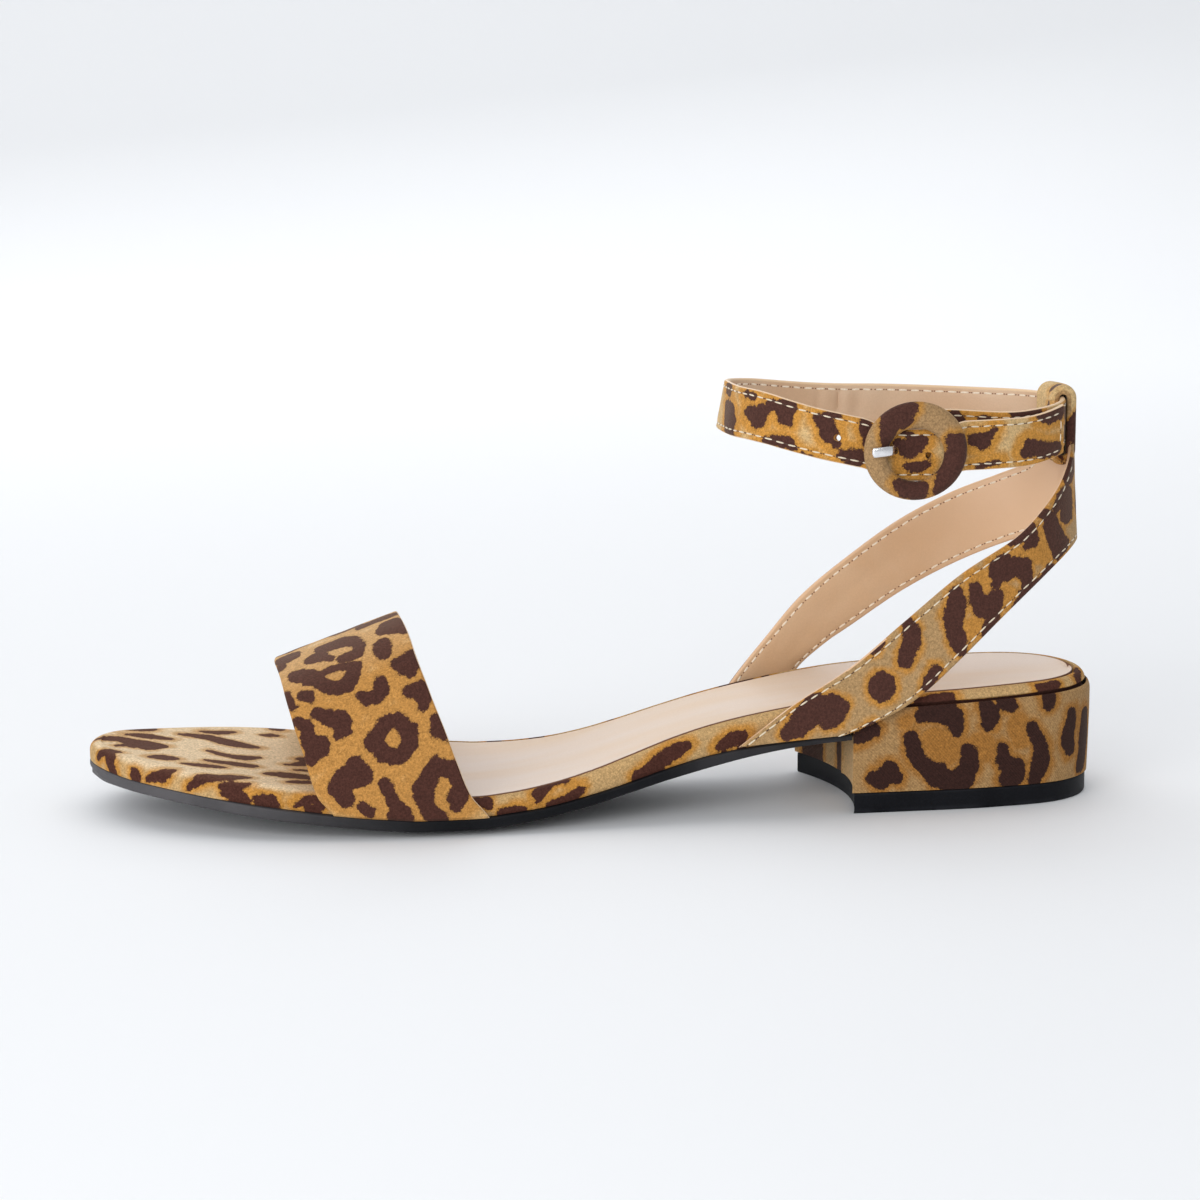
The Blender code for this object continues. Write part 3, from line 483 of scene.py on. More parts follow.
# ------------------------------------------------- charted marks of the print
# Each mark is a chain of (place along, place across, radius along, radius across), in mm.
SPOTS = {
    "vamp": (
        ((63.4, 0.8, 3.8, 0.7), (63.6, 3.3, 5, 0.9), (63.8, 5.8, 3.7, 0.7)),
        ((57.1, 0.6, 3.2, 0.8), (57.5, 1.6, 2.3, 0.6)),
        ((66.2, 20.6, 2, 0.4), (67.8, 24.5, 2.8, 0.5), (67.1, 27.9, 2.8, 0.5), (66.3, 30.7, 2, 0.4)),
        ((56, 25.1, 2.9, 0.9), (57.2, 26.7, 5, 1.5), (56.6, 29.1, 5.5, 1.7), (54.3, 30.5, 4.7, 1.7)),
        ((47.7, 24.7, 3.8, 2), (46, 24.7, 3.5, 2)),
        ((39.6, 27.3, 2.2, 1.6), (38.9, 29.2, 3.1, 2.4), (39.6, 31.2, 3.3, 2.6), (40, 32.4, 2.4, 1.9)),
        ((36.5, 30.4, 1.4, 1.2),),
        ((59.9, 10.3, 3.2, 0.7), (59.3, 13.2, 4, 1), (58.7, 16.8, 4.1, 1.1), (56.2, 19.3, 3.4, 1.1), (51.8, 19.5, 3.2, 1.3), (48.8, 19.2, 2.3, 1.1), (48.4, 17, 2.3, 1.1), (48.7, 14.6, 1.7, 0.7)),
        ((54, 6.9, 2, 0.6), (54.7, 8.9, 3.4, 1.1), (54.1, 10.8, 3.5, 1.1), (50.3, 12.6, 1.7, 0.7)),
        ((47.9, 3.2, 2.8, 1.1), (46.8, 5.3, 3.6, 1.6), (44.8, 7.5, 3.7, 1.8), (42.1, 9.1, 3, 1.7), (39, 10.8, 2.3, 1.5), (37.8, 13, 2.2, 1.5), (38.1, 15.4, 2.5, 1.7), (40.9, 16.9, 2.7, 1.7), (43.3, 18.1, 1.8, 1)),
        ((45.1, 10.6, 1.4, 0.7), (45.4, 13.1, 1.4, 0.7), (44.8, 15.4, 1.6, 0.9), (43.6, 17.4, 1.8, 1.1)),
        ((38.4, 4.8, 1.9, 1.2), (37.5, 6.1, 2, 1.3), (36.6, 6.5, 1.4, 0.9)),
        ((40.6, 0.9, 1.7, 0.9), (37.5, 1.6, 1.7, 1), (35.4, 2.2, 1.4, 0.9)),
        ((35.7, 22.8, 1.8, 1.5), (33.6, 23.4, 1.8, 1.5), (32.4, 22, 1.6, 1.4), (32.4, 19.2, 1.7, 1.4), (33.6, 17.9, 1.3, 1)),
        ((31.6, 29.6, 1.6, 1.5), (31.5, 32, 1.9, 1.9), (29.2, 32.7, 1.8, 1.9), (27.6, 32.6, 1.2, 1.3)),
        ((23.8, 35.2, 1.3, 1.4), (21.4, 35.5, 1.5, 1.7), (20.1, 37.3, 1, 1.2)),
        ((31.7, 7.3, 1.7, 1.3), (29.8, 10, 2.3, 1.9), (28, 12.9, 2.9, 2.4), (25.3, 13.2, 2.1, 1.9), (24.2, 11.7, 0.9, 0.8)),
        ((30.2, 2.7, 1.6, 1.2), (28.1, 4.7, 2, 1.5), (23.6, 5.1, 2.3, 1.9), (21.9, 7.1, 3.4, 2.8), (18.6, 5.4, 2, 1.6)),
        ((26, 26.2, 1.4, 1.4), (25.2, 23.1, 1.9, 1.9), (21.3, 20, 2.1, 2), (18.2, 22.4, 1.9, 1.9), (16.9, 25.7, 1.6, 1.7), (19.7, 28.7, 1.8, 1.9), (22.7, 28.4, 1.8, 1.9), (26, 26.2, 1.4, 1.4)),
        ((16.4, 15.5, 2, 1.9), (13.5, 16.8, 3.1, 2.8), (12.9, 13.3, 3.2, 2.8), (10.1, 11.8, 3.1, 2.6), (6.6, 13.1, 2.9, 2.1)),
        ((14.6, 34.6, 1.6, 1.8), (12.3, 33.3, 2, 2.1), (9.6, 31.6, 2.4, 2.5), (5.8, 31.8, 2.2, 1.9), (2.3, 33.4, 2.8, 2.1), (0.9, 36, 1.8, 1.4)),
        ((14.1, 34.6, 1.6, 1.8), (12.8, 38.4, 1.9, 2.1), (9.8, 40.7, 1.7, 1.9), (6.7, 39.7, 2.6, 2.5), (4, 39.1, 1.5, 1.2)),
        ((11, 22.4, 1.5, 1.4), (7.9, 23.7, 1.7, 1.5), (4.7, 24.9, 2.3, 1.7), (1.8, 26.7, 2.8, 2), (1.6, 23.9, 1.7, 1.2)),
        ((4.5, 17.1, 1.8, 1.2), (2.7, 18.5, 2.2, 1.4)),
        ((3.1, 26.7, 2.3, 1.7), (1.2, 28.2, 1.3, 0.9)),
    ),
    "bed": (
        ((242.3, 24.5, 0.2, 0.8), (239.6, 24.2, 0.5, 1.9), (236.4, 23.2, 0.6, 2.4), (233.5, 22.3, 0.5, 2), (230.8, 21.4, 0.2, 0.9)),
        ((250.6, 15.4, 0.2, 0.2), (248.2, 18.1, 0.5, 1.4), (245.2, 19.3, 0.6, 2.5), (242.6, 17.7, 0.8, 3.3), (240.2, 15, 1, 4.6), (237.9, 13.2, 1.2, 5.4), (235.4, 12.9, 0.9, 4.2), (232.9, 13, 0.4, 1.9)),
        ((245.5, 11.3, 0.2, 1), (243, 12.6, 0.4, 1.7), (240.9, 11.8, 0.5, 2.4)),
        ((229.2, 27.5, 0.2, 0.8), (226.2, 26.7, 0.4, 1.6), (223.8, 26.1, 0.6, 2.5), (221.4, 24.6, 0.7, 3.2), (219.5, 22.5, 0.9, 3.8), (217.1, 20.6, 0.9, 3.7), (214.7, 19, 0.7, 3.2), (211.8, 17.6, 0.6, 2.4), (209.4, 16.8, 0.2, 0.9)),
        ((223.5, 31.4, 0.2, 0.7), (221.4, 31.2, 0.3, 1.4), (218.9, 30.9, 0.5, 1.9), (216.4, 31.7, 0.4, 1.6), (214.5, 32.6, 0.2, 0.8)),
        ((208, 31.5, 0.2, 0.7), (206.5, 31.5, 0.4, 1.7), (204.9, 32, 0.4, 1.7), (203.6, 32.3, 0.2, 0.7)),
        ((222.8, 10, 0.2, 1.1), (221.4, 8.2, 0.4, 2), (219.6, 6.1, 0.5, 2.1), (217.2, 4.4, 0.5, 2.1), (214.8, 3.7, 0.6, 2.6), (212.3, 4, 0.5, 2.2), (210, 5.7, 0.2, 0.9)),
        ((224.4, -1.4, 0.2, 1), (222.1, -2.6, 0.4, 1.7), (219.2, -3.2, 0.4, 1.9), (216.4, -4.5, 0.5, 2.3), (213.5, -5.2, 0.5, 2.3), (211.5, -5, 0.2, 1)),
        ((230.1, -6.7, 0.2, 0.9), (227.2, -7.7, 0.3, 1.6), (224.3, -8.2, 0.4, 2.1), (222, -8.8, 0.4, 2), (219.6, -9.3, 0.2, 0.9)),
        ((237.7, -0.3, 0.3, 1.3), (236, -0.5, 0.5, 2.6), (233.9, -0.7, 0.6, 3.2), (232.2, -1, 0.5, 2.6), (230.7, -1.1, 0.3, 1.2)),
        ((210.7, -13.3, 0.2, 1), (208.5, -12.9, 0.5, 2.3), (205.9, -13, 0.7, 3.2), (203.2, -13, 0.7, 3), (200, -13.1, 0.6, 2.5)),
        ((206, -21, 0.2, 1), (203.3, -19.9, 0.4, 1.7), (200.1, -18.5, 0.4, 1.7)),
        ((204.8, -0.7, 0.2, 0.8), (202.3, 0.3, 0.4, 1.5), (199.9, 2.5, 0.7, 2.8)),
        ((201.2, 7.1, 0.2, 0.9), (199.5, 7.2, 0.7, 2.8), (198.3, 6.2, 0.8, 3.5)),
        ((202.8, -6, 0.2, 0.7), (200.8, -5.6, 0.3, 1.2), (199.1, -5.4, 0.3, 1.2)),
        ((251.5, 5.1, 0.7, 0.9), (249.9, 4.7, 1, 1.5), (248.3, 3.8, 0.9, 1.7), (246.5, 2.8, 0.8, 2.1), (244.4, 2.9, 0.2, 1.2)),
        ((247.3, 2.3, 1.2, 2.2), (247.7, -0.5, 1.6, 1.9), (248.8, -2.1, 2, 1.7), (249.2, -3.8, 1.7, 1.5)),
        ((242.6, -9, 0.9, 1), (242.8, -10.1, 1.6, 1.5), (243.3, -11.8, 2.2, 1.3)),
        ((240, -13.9, 0.7, 0.7), (238, -14.3, 1.3, 1.3), (235.9, -15.1, 1.6, 2), (234, -15.3, 1.1, 1.6), (232.2, -15, 0.3, 0.6)),
        ((230.1, -21.9, 0.7, 0.7), (228.9, -21.3, 1.1, 1.2), (227.1, -20.6, 1.1, 1.6), (224.6, -20.3, 0.9, 1.8), (221.8, -20.6, 0.8, 1.9), (218.9, -20.3, 0.6, 2.6), (216.2, -19.8, 0.4, 1.8), (214.3, -19.6, 0.2, 0.7)),
        ((221.3, -24.6, 1.1, 1.2), (219.4, -24.9, 1.1, 1.4), (217.2, -25.2, 0.7, 1), (215, -25.3, 0.2, 0.5)),
        ((221.3, -26.2, 1.4, 1.3), (218.8, -27, 1.6, 1.6), (217.3, -29.4, 1.4, 1.5), (220, -28.5, 1.2, 1.2)),
        ((214.6, -30.2, 0.8, 1), (212.9, -29.8, 1, 1.1), (210.5, -30.3, 1.1, 1.1), (209.8, -32.4, 0.9, 0.9), (213.1, -31.9, 1.4, 1.3)),
        ((205.1, -33.1, 0.7, 0.8), (202.8, -31.8, 1, 1), (200.6, -31.5, 0.9, 0.9), (198.8, -32.3, 1, 1), (199.9, -34, 1.3, 1.4), (202.3, -33.9, 1.1, 1.3)),
        ((161.1, -32.3, 1, 1.2), (159.2, -32.8, 1.5, 1.9), (158.5, -34, 1, 1.1)),
        ((154.7, -36.4, 1.3, 1.3), (152.2, -36.4, 1.7, 1.8), (149.8, -36.9, 1.3, 1.3)),
        ((146.2, -32.1, 1.5, 1.7), (142.5, -28.2, 1.7, 1.4), (139.6, -29.7, 1.1, 1.1)),
        ((146.4, -34.1, 0.8, 0.9),),
        ((142.6, -35.8, 1.4, 1.3), (138.8, -35.4, 1.8, 1.8), (135.8, -33.5, 1.3, 1.5)),
        ((125.8, -17.1, 0.5, 2.5), (123.4, -17.9, 0.5, 2.5)),
        ((120.9, -33.4, 1.7, 1.7), (117.9, -32.7, 2.2, 2.3), (114.6, -30.7, 2.1, 2.4), (111.7, -29.9, 2.2, 2.4), (109.5, -29.2, 1.5, 1.7)),
        ((100.3, -31.5, 1.3, 1.4), (97.4, -30.3, 2, 2.3), (95.2, -30, 1.5, 1.7), (95.1, -32.8, 1, 1.1)),
        ((51, -27.4, 1.1, 1.3), (46.9, -26.9, 1.5, 1.7), (42.9, -26.6, 1.4, 1.6)),
        ((19.1, -23.4, 1, 1.1), (15.9, -22.8, 1.5, 1.5), (14.1, -21.5, 1.4, 1.5)),
        ((4.7, -6.9, 0.8, 0.8), (6.3, -16, 1.3, 1.4)),
    ),
    "heel": (
        ((17, 24.1, 1.8, 1.7), (19.8, 25, 2.4, 2.3), (22.8, 24.7, 2.5, 2.4), (25.4, 23.8, 2.3, 2.2), (26, 21, 1.7, 1.6), (26.3, 19.5, 1, 1)),
        ((17.8, 26, 1.3, 1.2), (24.5, 26.3, 1.5, 1.4)),
        ((33.7, 25.9, 1.8, 1.7), (34.8, 23.9, 2.4, 2.3), (34.6, 21.6, 1.9, 1.8)),
        ((37.8, 26.4, 1.3, 1.2), (39.9, 26.1, 1.7, 1.6), (40.7, 25.3, 1.3, 1.2)),
        ((51.1, 27, 2, 1.5), (51, 25.3, 1.7, 1.4)),
        ((46.2, 19.9, 1.4, 1.3), (47.8, 17, 1.7, 1.5), (49.3, 14, 2.1, 1.8), (49.2, 10.7, 2.4, 2.1), (48.1, 8, 2.2, 1.9), (47.6, 6, 1.7, 1.6)),
        ((59.1, 22.3, 1.7, 1.1), (58.5, 18.8, 2.3, 1.5), (57.9, 15.3, 2.5, 1.6), (58.9, 12.4, 1.7, 1.1)),
        ((66.4, 21.6, 2.1, 0.8), (66.2, 16.5, 3, 1.1), (66.2, 11.4, 3.1, 1.2), (64.6, 7, 2.4, 1)),
        ((14.6, 18.7, 1.8, 1.8), (15.1, 16.2, 2, 2), (16.7, 13.1, 1.9, 1.9), (19.6, 10.4, 2.2, 2.2), (22.2, 8.5, 2.8, 2.8), (25.3, 7.4, 2.6, 2.5), (28.4, 8, 2.6, 2.6), (29.6, 10.8, 2.6, 2.5), (29.5, 13.8, 2.2, 2.2), (29, 15.1, 1.6, 1.5)),
        ((22.4, 10.8, 1.3, 1.3),),
        ((38.5, 14.8, 1.6, 1.5), (38.6, 12.5, 1.8, 1.7), (40, 10.6, 2.2, 2), (42.2, 10.2, 2.2, 2), (41.7, 7.7, 2.7, 2.6), (40.1, 7.1, 2.2, 2.1)),
        ((5.1, 9, 1.5, 1.5), (7.4, 8.4, 2.3, 2.3), (9.1, 11.1, 2, 2), (10.5, 9.3, 1.9, 1.9), (11.2, 8.2, 1, 1)),
        ((0.9, 19.2, 1.3, 1.3), (3.1, 20.1, 1.6, 1.6), (5.4, 21.1, 1.3, 1.3)),
    ),
    "heel_gold": (
        ((20.7, 17.5, 2.8, 2.8), (23.3, 14.8, 3.1, 3)),
        ((32.8, 16.9, 1.8, 1.8), (34, 14.8, 1.9, 1.8)),
        ((42.4, 21.4, 1.9, 1.8), (43.6, 17.3, 1.9, 1.8)),
        ((13.2, 22.8, 1, 1),),
    ),
    "sling": (
        ((-1.1, 21.2, 1.5, 1.5), (1.9, 22.1, 2, 1.9), (4.1, 24.4, 2.5, 2.4), (7.1, 27.3, 2.5, 2.5), (10.1, 28.2, 2.5, 2.5), (12.1, 27.2, 2.2, 2.2), (10, 24.8, 2.5, 2.4), (8.6, 22.9, 1.2, 1.2)),
        ((-0.6, 22.4, 1, 1), (1.9, 25.5, 1.7, 1.7), (4.6, 28.4, 1.7, 1.7), (6.6, 30, 1.2, 1.2)),
        ((22.6, 32.5, 3.3, 3.2), (22.6, 31.5, 3.3, 3.2)),
        ((28.9, 48.1, 1.3, 1.2), (30.2, 45.3, 2.2, 2.1), (30.2, 42.8, 2.3, 2.2), (28.9, 40.4, 2, 2), (28.4, 37.9, 1.6, 1.6)),
        ((20.3, 40.9, 1, 1), (21.8, 42.4, 1.1, 1.1), (22.8, 43.6, 0.6, 0.6)),
        ((36.2, 35.6, 1.3, 1.2), (35.2, 34, 1.4, 1.4), (33.4, 31.6, 0.9, 0.9)),
        ((41.2, 54.8, 1.7, 1.6), (41.5, 52.1, 2.5, 2.4), (40.8, 48.6, 2.7, 2.6), (40.9, 45.4, 2.3, 2.2), (42, 42.6, 2.1, 2), (42.7, 40.3, 1.5, 1.5)),
        ((46.2, 55.5, 1.5, 1.4), (47, 52.5, 2.2, 2.1), (48.6, 50.9, 3.2, 3), (50.7, 50.8, 2.7, 2.5), (51.9, 53.2, 1.9, 1.7)),
        ((51, 48.1, 1.9, 1.7), (49.9, 45.9, 1.4, 1.4), (49.2, 44.2, 1, 1)),
        ((51.3, 58.5, 1.4, 1.2), (52.1, 60.4, 2.2, 2), (53.7, 61.3, 2.5, 2.3), (53.8, 58.6, 2.4, 2.1), (56.8, 60.4, 2.6, 2.3), (59.5, 59.9, 2.6, 2.3), (60.6, 57.8, 1.9, 1.6), (60.9, 55.3, 1.6, 1.4), (59.7, 53.7, 1.2, 1)),
        ((51.9, 56.4, 1.4, 1.2),),
        ((55.8, 66.9, 1.6, 1.4), (58, 67.8, 2.4, 2), (60.7, 69, 2.8, 2.3), (62, 66.4, 2.2, 1.8), (60.8, 65, 1.2, 1)),
        ((66.3, 72.5, 1.9, 1.3), (68.6, 71.3, 2.4, 1.5), (69, 69.2, 3.2, 2), (70.5, 66.6, 3.5, 2.1), (72, 63.9, 3.6, 2.1), (71, 61.8, 2, 1.3)),
        ((73.9, 64.4, 2.8, 1.5),),
        ((77.6, 76.7, 3.1, 1.3), (76.7, 73.6, 3.6, 1.5), (76.3, 70.6, 3.3, 1.4)),
        ((67.8, 58.9, 1.4, 1), (66.1, 57.1, 1.1, 0.9), (63, 54.9, 1, 0.9), (60.3, 52.6, 1, 0.9), (57.4, 50.4, 1, 0.9)),
        ((16.5, 20.4, 0.7, 0.7), (18.4, 22, 1, 0.9), (20.6, 22.8, 0.9, 0.8)),
        ((78, 85.5, 3.1, 1), (77.3, 83.3, 2.6, 1)),
        ((80.9, 83.9, 3.6, 1.1), (79.9, 81.5, 3.8, 1.3), (78.4, 79.6, 2.6, 1)),
        ((71.3, 73.4, 1.9, 1), (74, 76.1, 2.7, 1.3), (76.5, 77.6, 2.4, 1)),
    ),
    "ankle": (
        ((100.6, 7, 4.4, 1.1), (98.5, 4, 4.9, 1.4), (97.5, 1.1, 3.5, 1.1), (94.6, -0.2, 1.8, 0.7)),
        ((104.2, 11.3, 3.3, 0.8), (102.6, 9.5, 2.6, 0.6)),
        ((87.9, 6.9, 2.4, 1.6), (85.4, 5.4, 2.7, 1.9), (84.4, 7.6, 2, 1.5), (82.3, 8.5, 1.1, 0.9), (81, 10, 1.5, 1.2), (78.3, 9.8, 2.1, 1.9), (75.9, 10.9, 1.6, 1.5), (76.8, 8.5, 1.6, 1.5), (77.8, 7, 1.3, 1.2), (76.2, 7, 1, 1)),
        ((91.1, 10.9, 1.3, 0.7), (88.1, 10.6, 1.1, 0.7)),
        ((81.7, 0.6, 1.1, 1), (79.1, 1.6, 1.3, 1.2), (76.1, 1.9, 1.5, 1.5), (75.1, 1.2, 1, 1)),
        ((84.5, -0.9, 0.9, 0.7), (81.6, -0.8, 1, 0.9)),
        ((72.4, -0.2, 0.7, 0.7), (70.3, -0.1, 0.6, 0.6)),
        ((69, 9.6, 1.2, 1.2), (67.1, 8.9, 2, 2.1), (66.1, 6.7, 2.4, 2.5), (64.6, 4.8, 1.3, 1.4)),
        ((67.3, 11, 0.6, 0.6), (64.2, 11.6, 0.6, 0.6)),
        ((57.3, 11, 1.5, 1.5), (57, 8.1, 1.3, 1.3), (57.2, 6.1, 0.8, 0.8)),
        ((63.1, 1.9, 1.2, 1.2), (60.6, 3, 1.4, 1.4), (58.2, 2.7, 1.5, 1.5), (59.6, 1, 1, 1), (61.8, 0.5, 0.9, 0.9)),
        ((48.9, 8.6, 1.1, 1), (46.4, 7.5, 2.2, 2.1), (44.1, 8.7, 2.1, 2), (42.2, 9.6, 1, 0.9)),
        ((47.4, 11, 0.9, 0.8), (45.4, 10.8, 0.9, 0.8)),
        ((46.3, 3.4, 1.1, 1), (43.8, 3.3, 1.2, 1.2), (41.6, 3.8, 1, 0.9)),
        ((29.5, 7.5, 1.7, 1.6), (27.1, 7.1, 2.1, 2), (25.3, 8.5, 1.3, 1.2), (24, 9.6, 0.7, 0.6)),
        ((28.3, 0.8, 0.8, 0.7), (25.7, 1.4, 0.8, 0.7), (23, 1.8, 0.6, 0.5)),
        ((14.6, 3.6, 1.9, 1.5), (12, 4.2, 2.3, 1.8), (8.1, 2.9, 2.6, 1.8), (4.2, 2.1, 2.6, 1.7)),
        ((14.3, 5.8, 1.1, 0.9), (11.7, 5.1, 1, 0.8)),
        ((9.5, 11.8, 1.9, 1.4), (6.1, 10.8, 2.6, 1.7), (2.7, 10.7, 2.4, 1.4)),
    ),
    "ring": (
        ((1.9, 10.8, 1.2, 1.2), (4.2, 9.9, 1.9, 1.9), (6.9, 8, 2.2, 2.1), (7.9, 5.1, 1.9, 1.8), (8, 2.7, 1.4, 1.2)),
        ((3, 7.9, 0.9, 0.9), (4.2, 7, 0.9, 0.9)),
        ((-8.3, 2.9, 1.5, 1.5), (-10, 2.1, 2.1, 1.9), (-9.3, -1.5, 2.5, 2.4), (-7.9, -4.4, 2.4, 2.4), (-6.4, -7.3, 2, 2), (-5.3, -9.2, 1.4, 1.3)),
        ((5, -7.5, 1.2, 1), (3, -8.8, 2.1, 2), (0.2, -9.5, 2.1, 2.1), (-1.3, -8.6, 1, 0.9)),
    ),
    "sling_gold": (
        ((43, 44.8, 1.8, 1.7), (46.3, 45.6, 2.3, 2.2), (48.9, 48, 1.6, 1.5)),
        ((45.4, 58.1, 1.6, 1.5), (53, 54.1, 2.2, 2), (56.3, 51.9, 2.5, 2.2)),
        ((55, 64, 1.7, 1.5), (60.3, 62.6, 2.4, 2), (64.6, 63.7, 2.6, 2)),
        ((64.6, 68.7, 2.1, 1.5), (65.3, 64.9, 2.3, 1.8)),
        ((72.9, 75.7, 2.6, 1.3), (72.4, 69.1, 2.7, 1.5), (67.9, 60.9, 1.8, 1.3)),
        ((76.7, 80.3, 2.3, 1), (76.5, 77.9, 2.4, 1)),
    ),
}

# marks round the rolled loop, and creases, punched holes, lights
LOOP_SPOTS = (
    ((30, 2.0, 2.4, 2.0), (34, 4.0, 2.6, 2.2)), ((40, 9.5, 2.2, 2.4), (44, 8.0, 2.0, 2.0)),
    ((17, 1.5, 2.6, 2.4), (21, 1.8, 3.2, 2.4), (25, 2.4, 2.4, 2.4)), ((20, 9.0, 2.0, 1.8), (23, 6.5, 1.8, 1.6)), ((4, 4.0, 2.0, 1.6),), ((50, 3.0, 1.6, 1.6),), ((27, 11.0, 1.6, 1.2),),
)
BACK_SPOTS = (
    ((84.5, 72.5, 1.8, 2.2), (86.0, 76.0, 2.0, 2.4), (89.0, 78.0, 2.2, 1.8)), ((93.5, 70.0, 1.9, 2.3), (96.5, 72.0, 2.2, 2.0), (98.5, 70.5, 1.6, 1.6)),
    ((88.5, 67.4, 1.8, 1.3), (91.0, 66.8, 1.2, 1.1)), ((97.5, 79.0, 1.7, 1.9), (95.5, 82.0, 1.5, 1.6)), ((90.5, 84.5, 1.3, 1.4),),
)
HEEL_FRONT_SPOTS = (
    ((176.2, 2.0, 5.4, 3.0), (176.2, 26.0, 5.4, 3.0)), ((193.7, 2.0, 2.1, 3.0), (193.7, 26.0, 2.3, 3.0)),
)
RIPPLES = ((149.1, -0.32, 0.9), (151.6, 0.2, 1.1), (154.6, -0.7, 0.6), (156.8, 0.4, 1.1), (159.9, -0.45, 0.7), (163.5, 0.2, 1.8))
HOLES = ((63.9, 0.0, 0.8, 0.55), (49.6, 1.0, 0.9, 0.0), (41.1, -0.2, 0.8, 0.0), (33.5, 0.0, 0.8, 0.0))
LAMPS = (
    ("bank", (3.2, 2.2), 18.6, (0.0, 1.0, 1.8), (0, 0.7, 0.0)),
    ("key", (1.4, 0.8), 11.6, (-0.7, -1.35, 0.75), (0, 0, 0.04)),
    ("side", (0.8, 0.3), 5.2, (-1.05, -0.85, 0.2), (0.0, 0, 0.015)),
    ("back", (1.8, 0.4), 3.4, (-0.2, 1.3, 0.6), (0.05, 0.0, 0.0)),
)
WORLD = ((0.95, 0.97, 1.0, 1.0), 0.51)
EXPOSURE = 0.0

# ------------------------------------------------------------------- the print
def wavy(U, V, size, seed):
    """Soft random field with humps about size across, mostly within -1 to 1."""
    rng = np.random.default_rng(seed)
    out = np.zeros(np.shape(U))
    for _ in range(7):
        ang = rng.uniform(0, 2 * np.pi)
        k = 2 * np.pi / (size * rng.uniform(0.8, 1.7))
        out = out + np.sin(k * (U * np.cos(ang) + V * np.sin(ang)) + rng.uniform(0, 2 * np.pi))
    return out / 2.6


def spot_distance(U, V, chains, seed=1, sway=0.14, grow=0.15):
    """Distance in mm to the nearest dark mark, minus inside it."""
    u = U + sway * wavy(U, V, 5.5, seed) + 0.13 * wavy(U, V, 2.1, seed + 7)
    v = V + sway * wavy(U, V, 5.5, seed + 3) + 0.13 * wavy(U, V, 2.1, seed + 9)
    P = np.stack([u.ravel(), v.ravel()], axis=1)
    best = np.full(len(P), 7.0)
    for chain in chains:
        nodes = np.array(chain, float)
        if len(nodes) == 1:
            nodes = np.vstack([nodes, nodes + (0.05, 0, 0, 0)])
        for a, b in zip(nodes, nodes[1:]):
            reach = max(a[2:].max(), b[2:].max()) + 6.0
            near = ((P > np.minimum(a[:2], b[:2]) - reach) & (P < np.maximum(a[:2], b[:2]) + reach)).all(axis=1)
            p = P[near]
            if not len(p):
                continue
            r = (a[2:] + b[2:]) / 2
            d = (b[:2] - a[:2]) / r
            t = np.clip((((p - a[:2]) / r) @ d) / (d @ d + 1e-9), 0, 1)[:, None]
            c = a[:2] + (b[:2] - a[:2]) * t
            rad = a[2:] + (b[2:] - a[2:]) * t
            k = np.maximum(np.linalg.norm((p - c) / rad, axis=1), 1e-3)
            far = np.linalg.norm(p - c, axis=1)
            dist = np.where(k > 0.02, far * (1 - 1 / k), -rad.min(axis=1))
            best[near] = np.minimum(best[near], dist)
    return best.reshape(U.shape) - grow


def scattered(u0, u1, v0, v1, seed, keep=None, pitch=10.5, size=1.22):
    """More marks of the same kinds for the sides that have no charted ones."""
    rng = np.random.default_rng(seed)
    out = []
    rows = max(1, int(round((v1 - v0) / pitch)))
    cols = max(1, int(round((u1 - u0) / pitch)))
    for i in range(cols):
        for j in range(rows):
            cu = u0 + (i + 0.5 + rng.uniform(-0.3, 0.3) + (0.5 if j % 2 else 0.0)) * (u1 - u0) / cols
            cv = v0 + (j + 0.5 + rng.uniform(-0.3, 0.3)) * (v1 - v0) / rows
            if keep is not None and not keep(cu, cv):
                continue
            kind, turn = rng.uniform(), rng.uniform(0, 2 * np.pi)
            if kind < 0.42:
                w = size * rng.uniform(1.6, 2.6)
                n = [(cu, cv, w, w), (cu + 2.6 * size * np.cos(turn), cv + 2.6 * size * np.sin(turn), w * 0.8, w * 0.8)]
            elif kind < 0.86:
                r = size * rng.uniform(2.6, 3.9)
                span = rng.uniform(2.2, 4.2)
                n = [(cu + r * np.cos(turn + span * q), cv + r * np.sin(turn + span * q), w, w)
                     for q, w in zip(np.linspace(0, 1, 5), size * rng.uniform(1.2, 2.1, 5))]
            else:
                w = rng.uniform(1.1, 1.6)
                n = [(cu, cv, w, w)]
            out.append(tuple(n))
    return tuple(out)


# ------------------------------------------------------------------- materials
def nodes_of(name):
    mat = bpy.data.materials.new(name)
    mat.use_nodes = True
    tree = mat.node_tree
    bsdf = next(n for n in tree.nodes if n.type == "BSDF_PRINCIPLED")
    return mat, tree, bsdf


def srgb(*c):
    return tuple(x / 12.92 / 255 if x <= 10 else ((x / 255 + 0.055) / 1.055) ** 2.4 for x in c) + (1.0,)


def math_node(tree, op, a, b=None, clamp=False):
    n = tree.nodes.new("ShaderNodeMath")
    n.operation = op
    n.use_clamp = clamp
    for i, x in enumerate((a, b)):
        if x is None:
            continue
        if isinstance(x, (int, float)):
            n.inputs[i].default_value = x
        else:
            tree.links.new(x, n.inputs[i])
    return n.outputs[0]


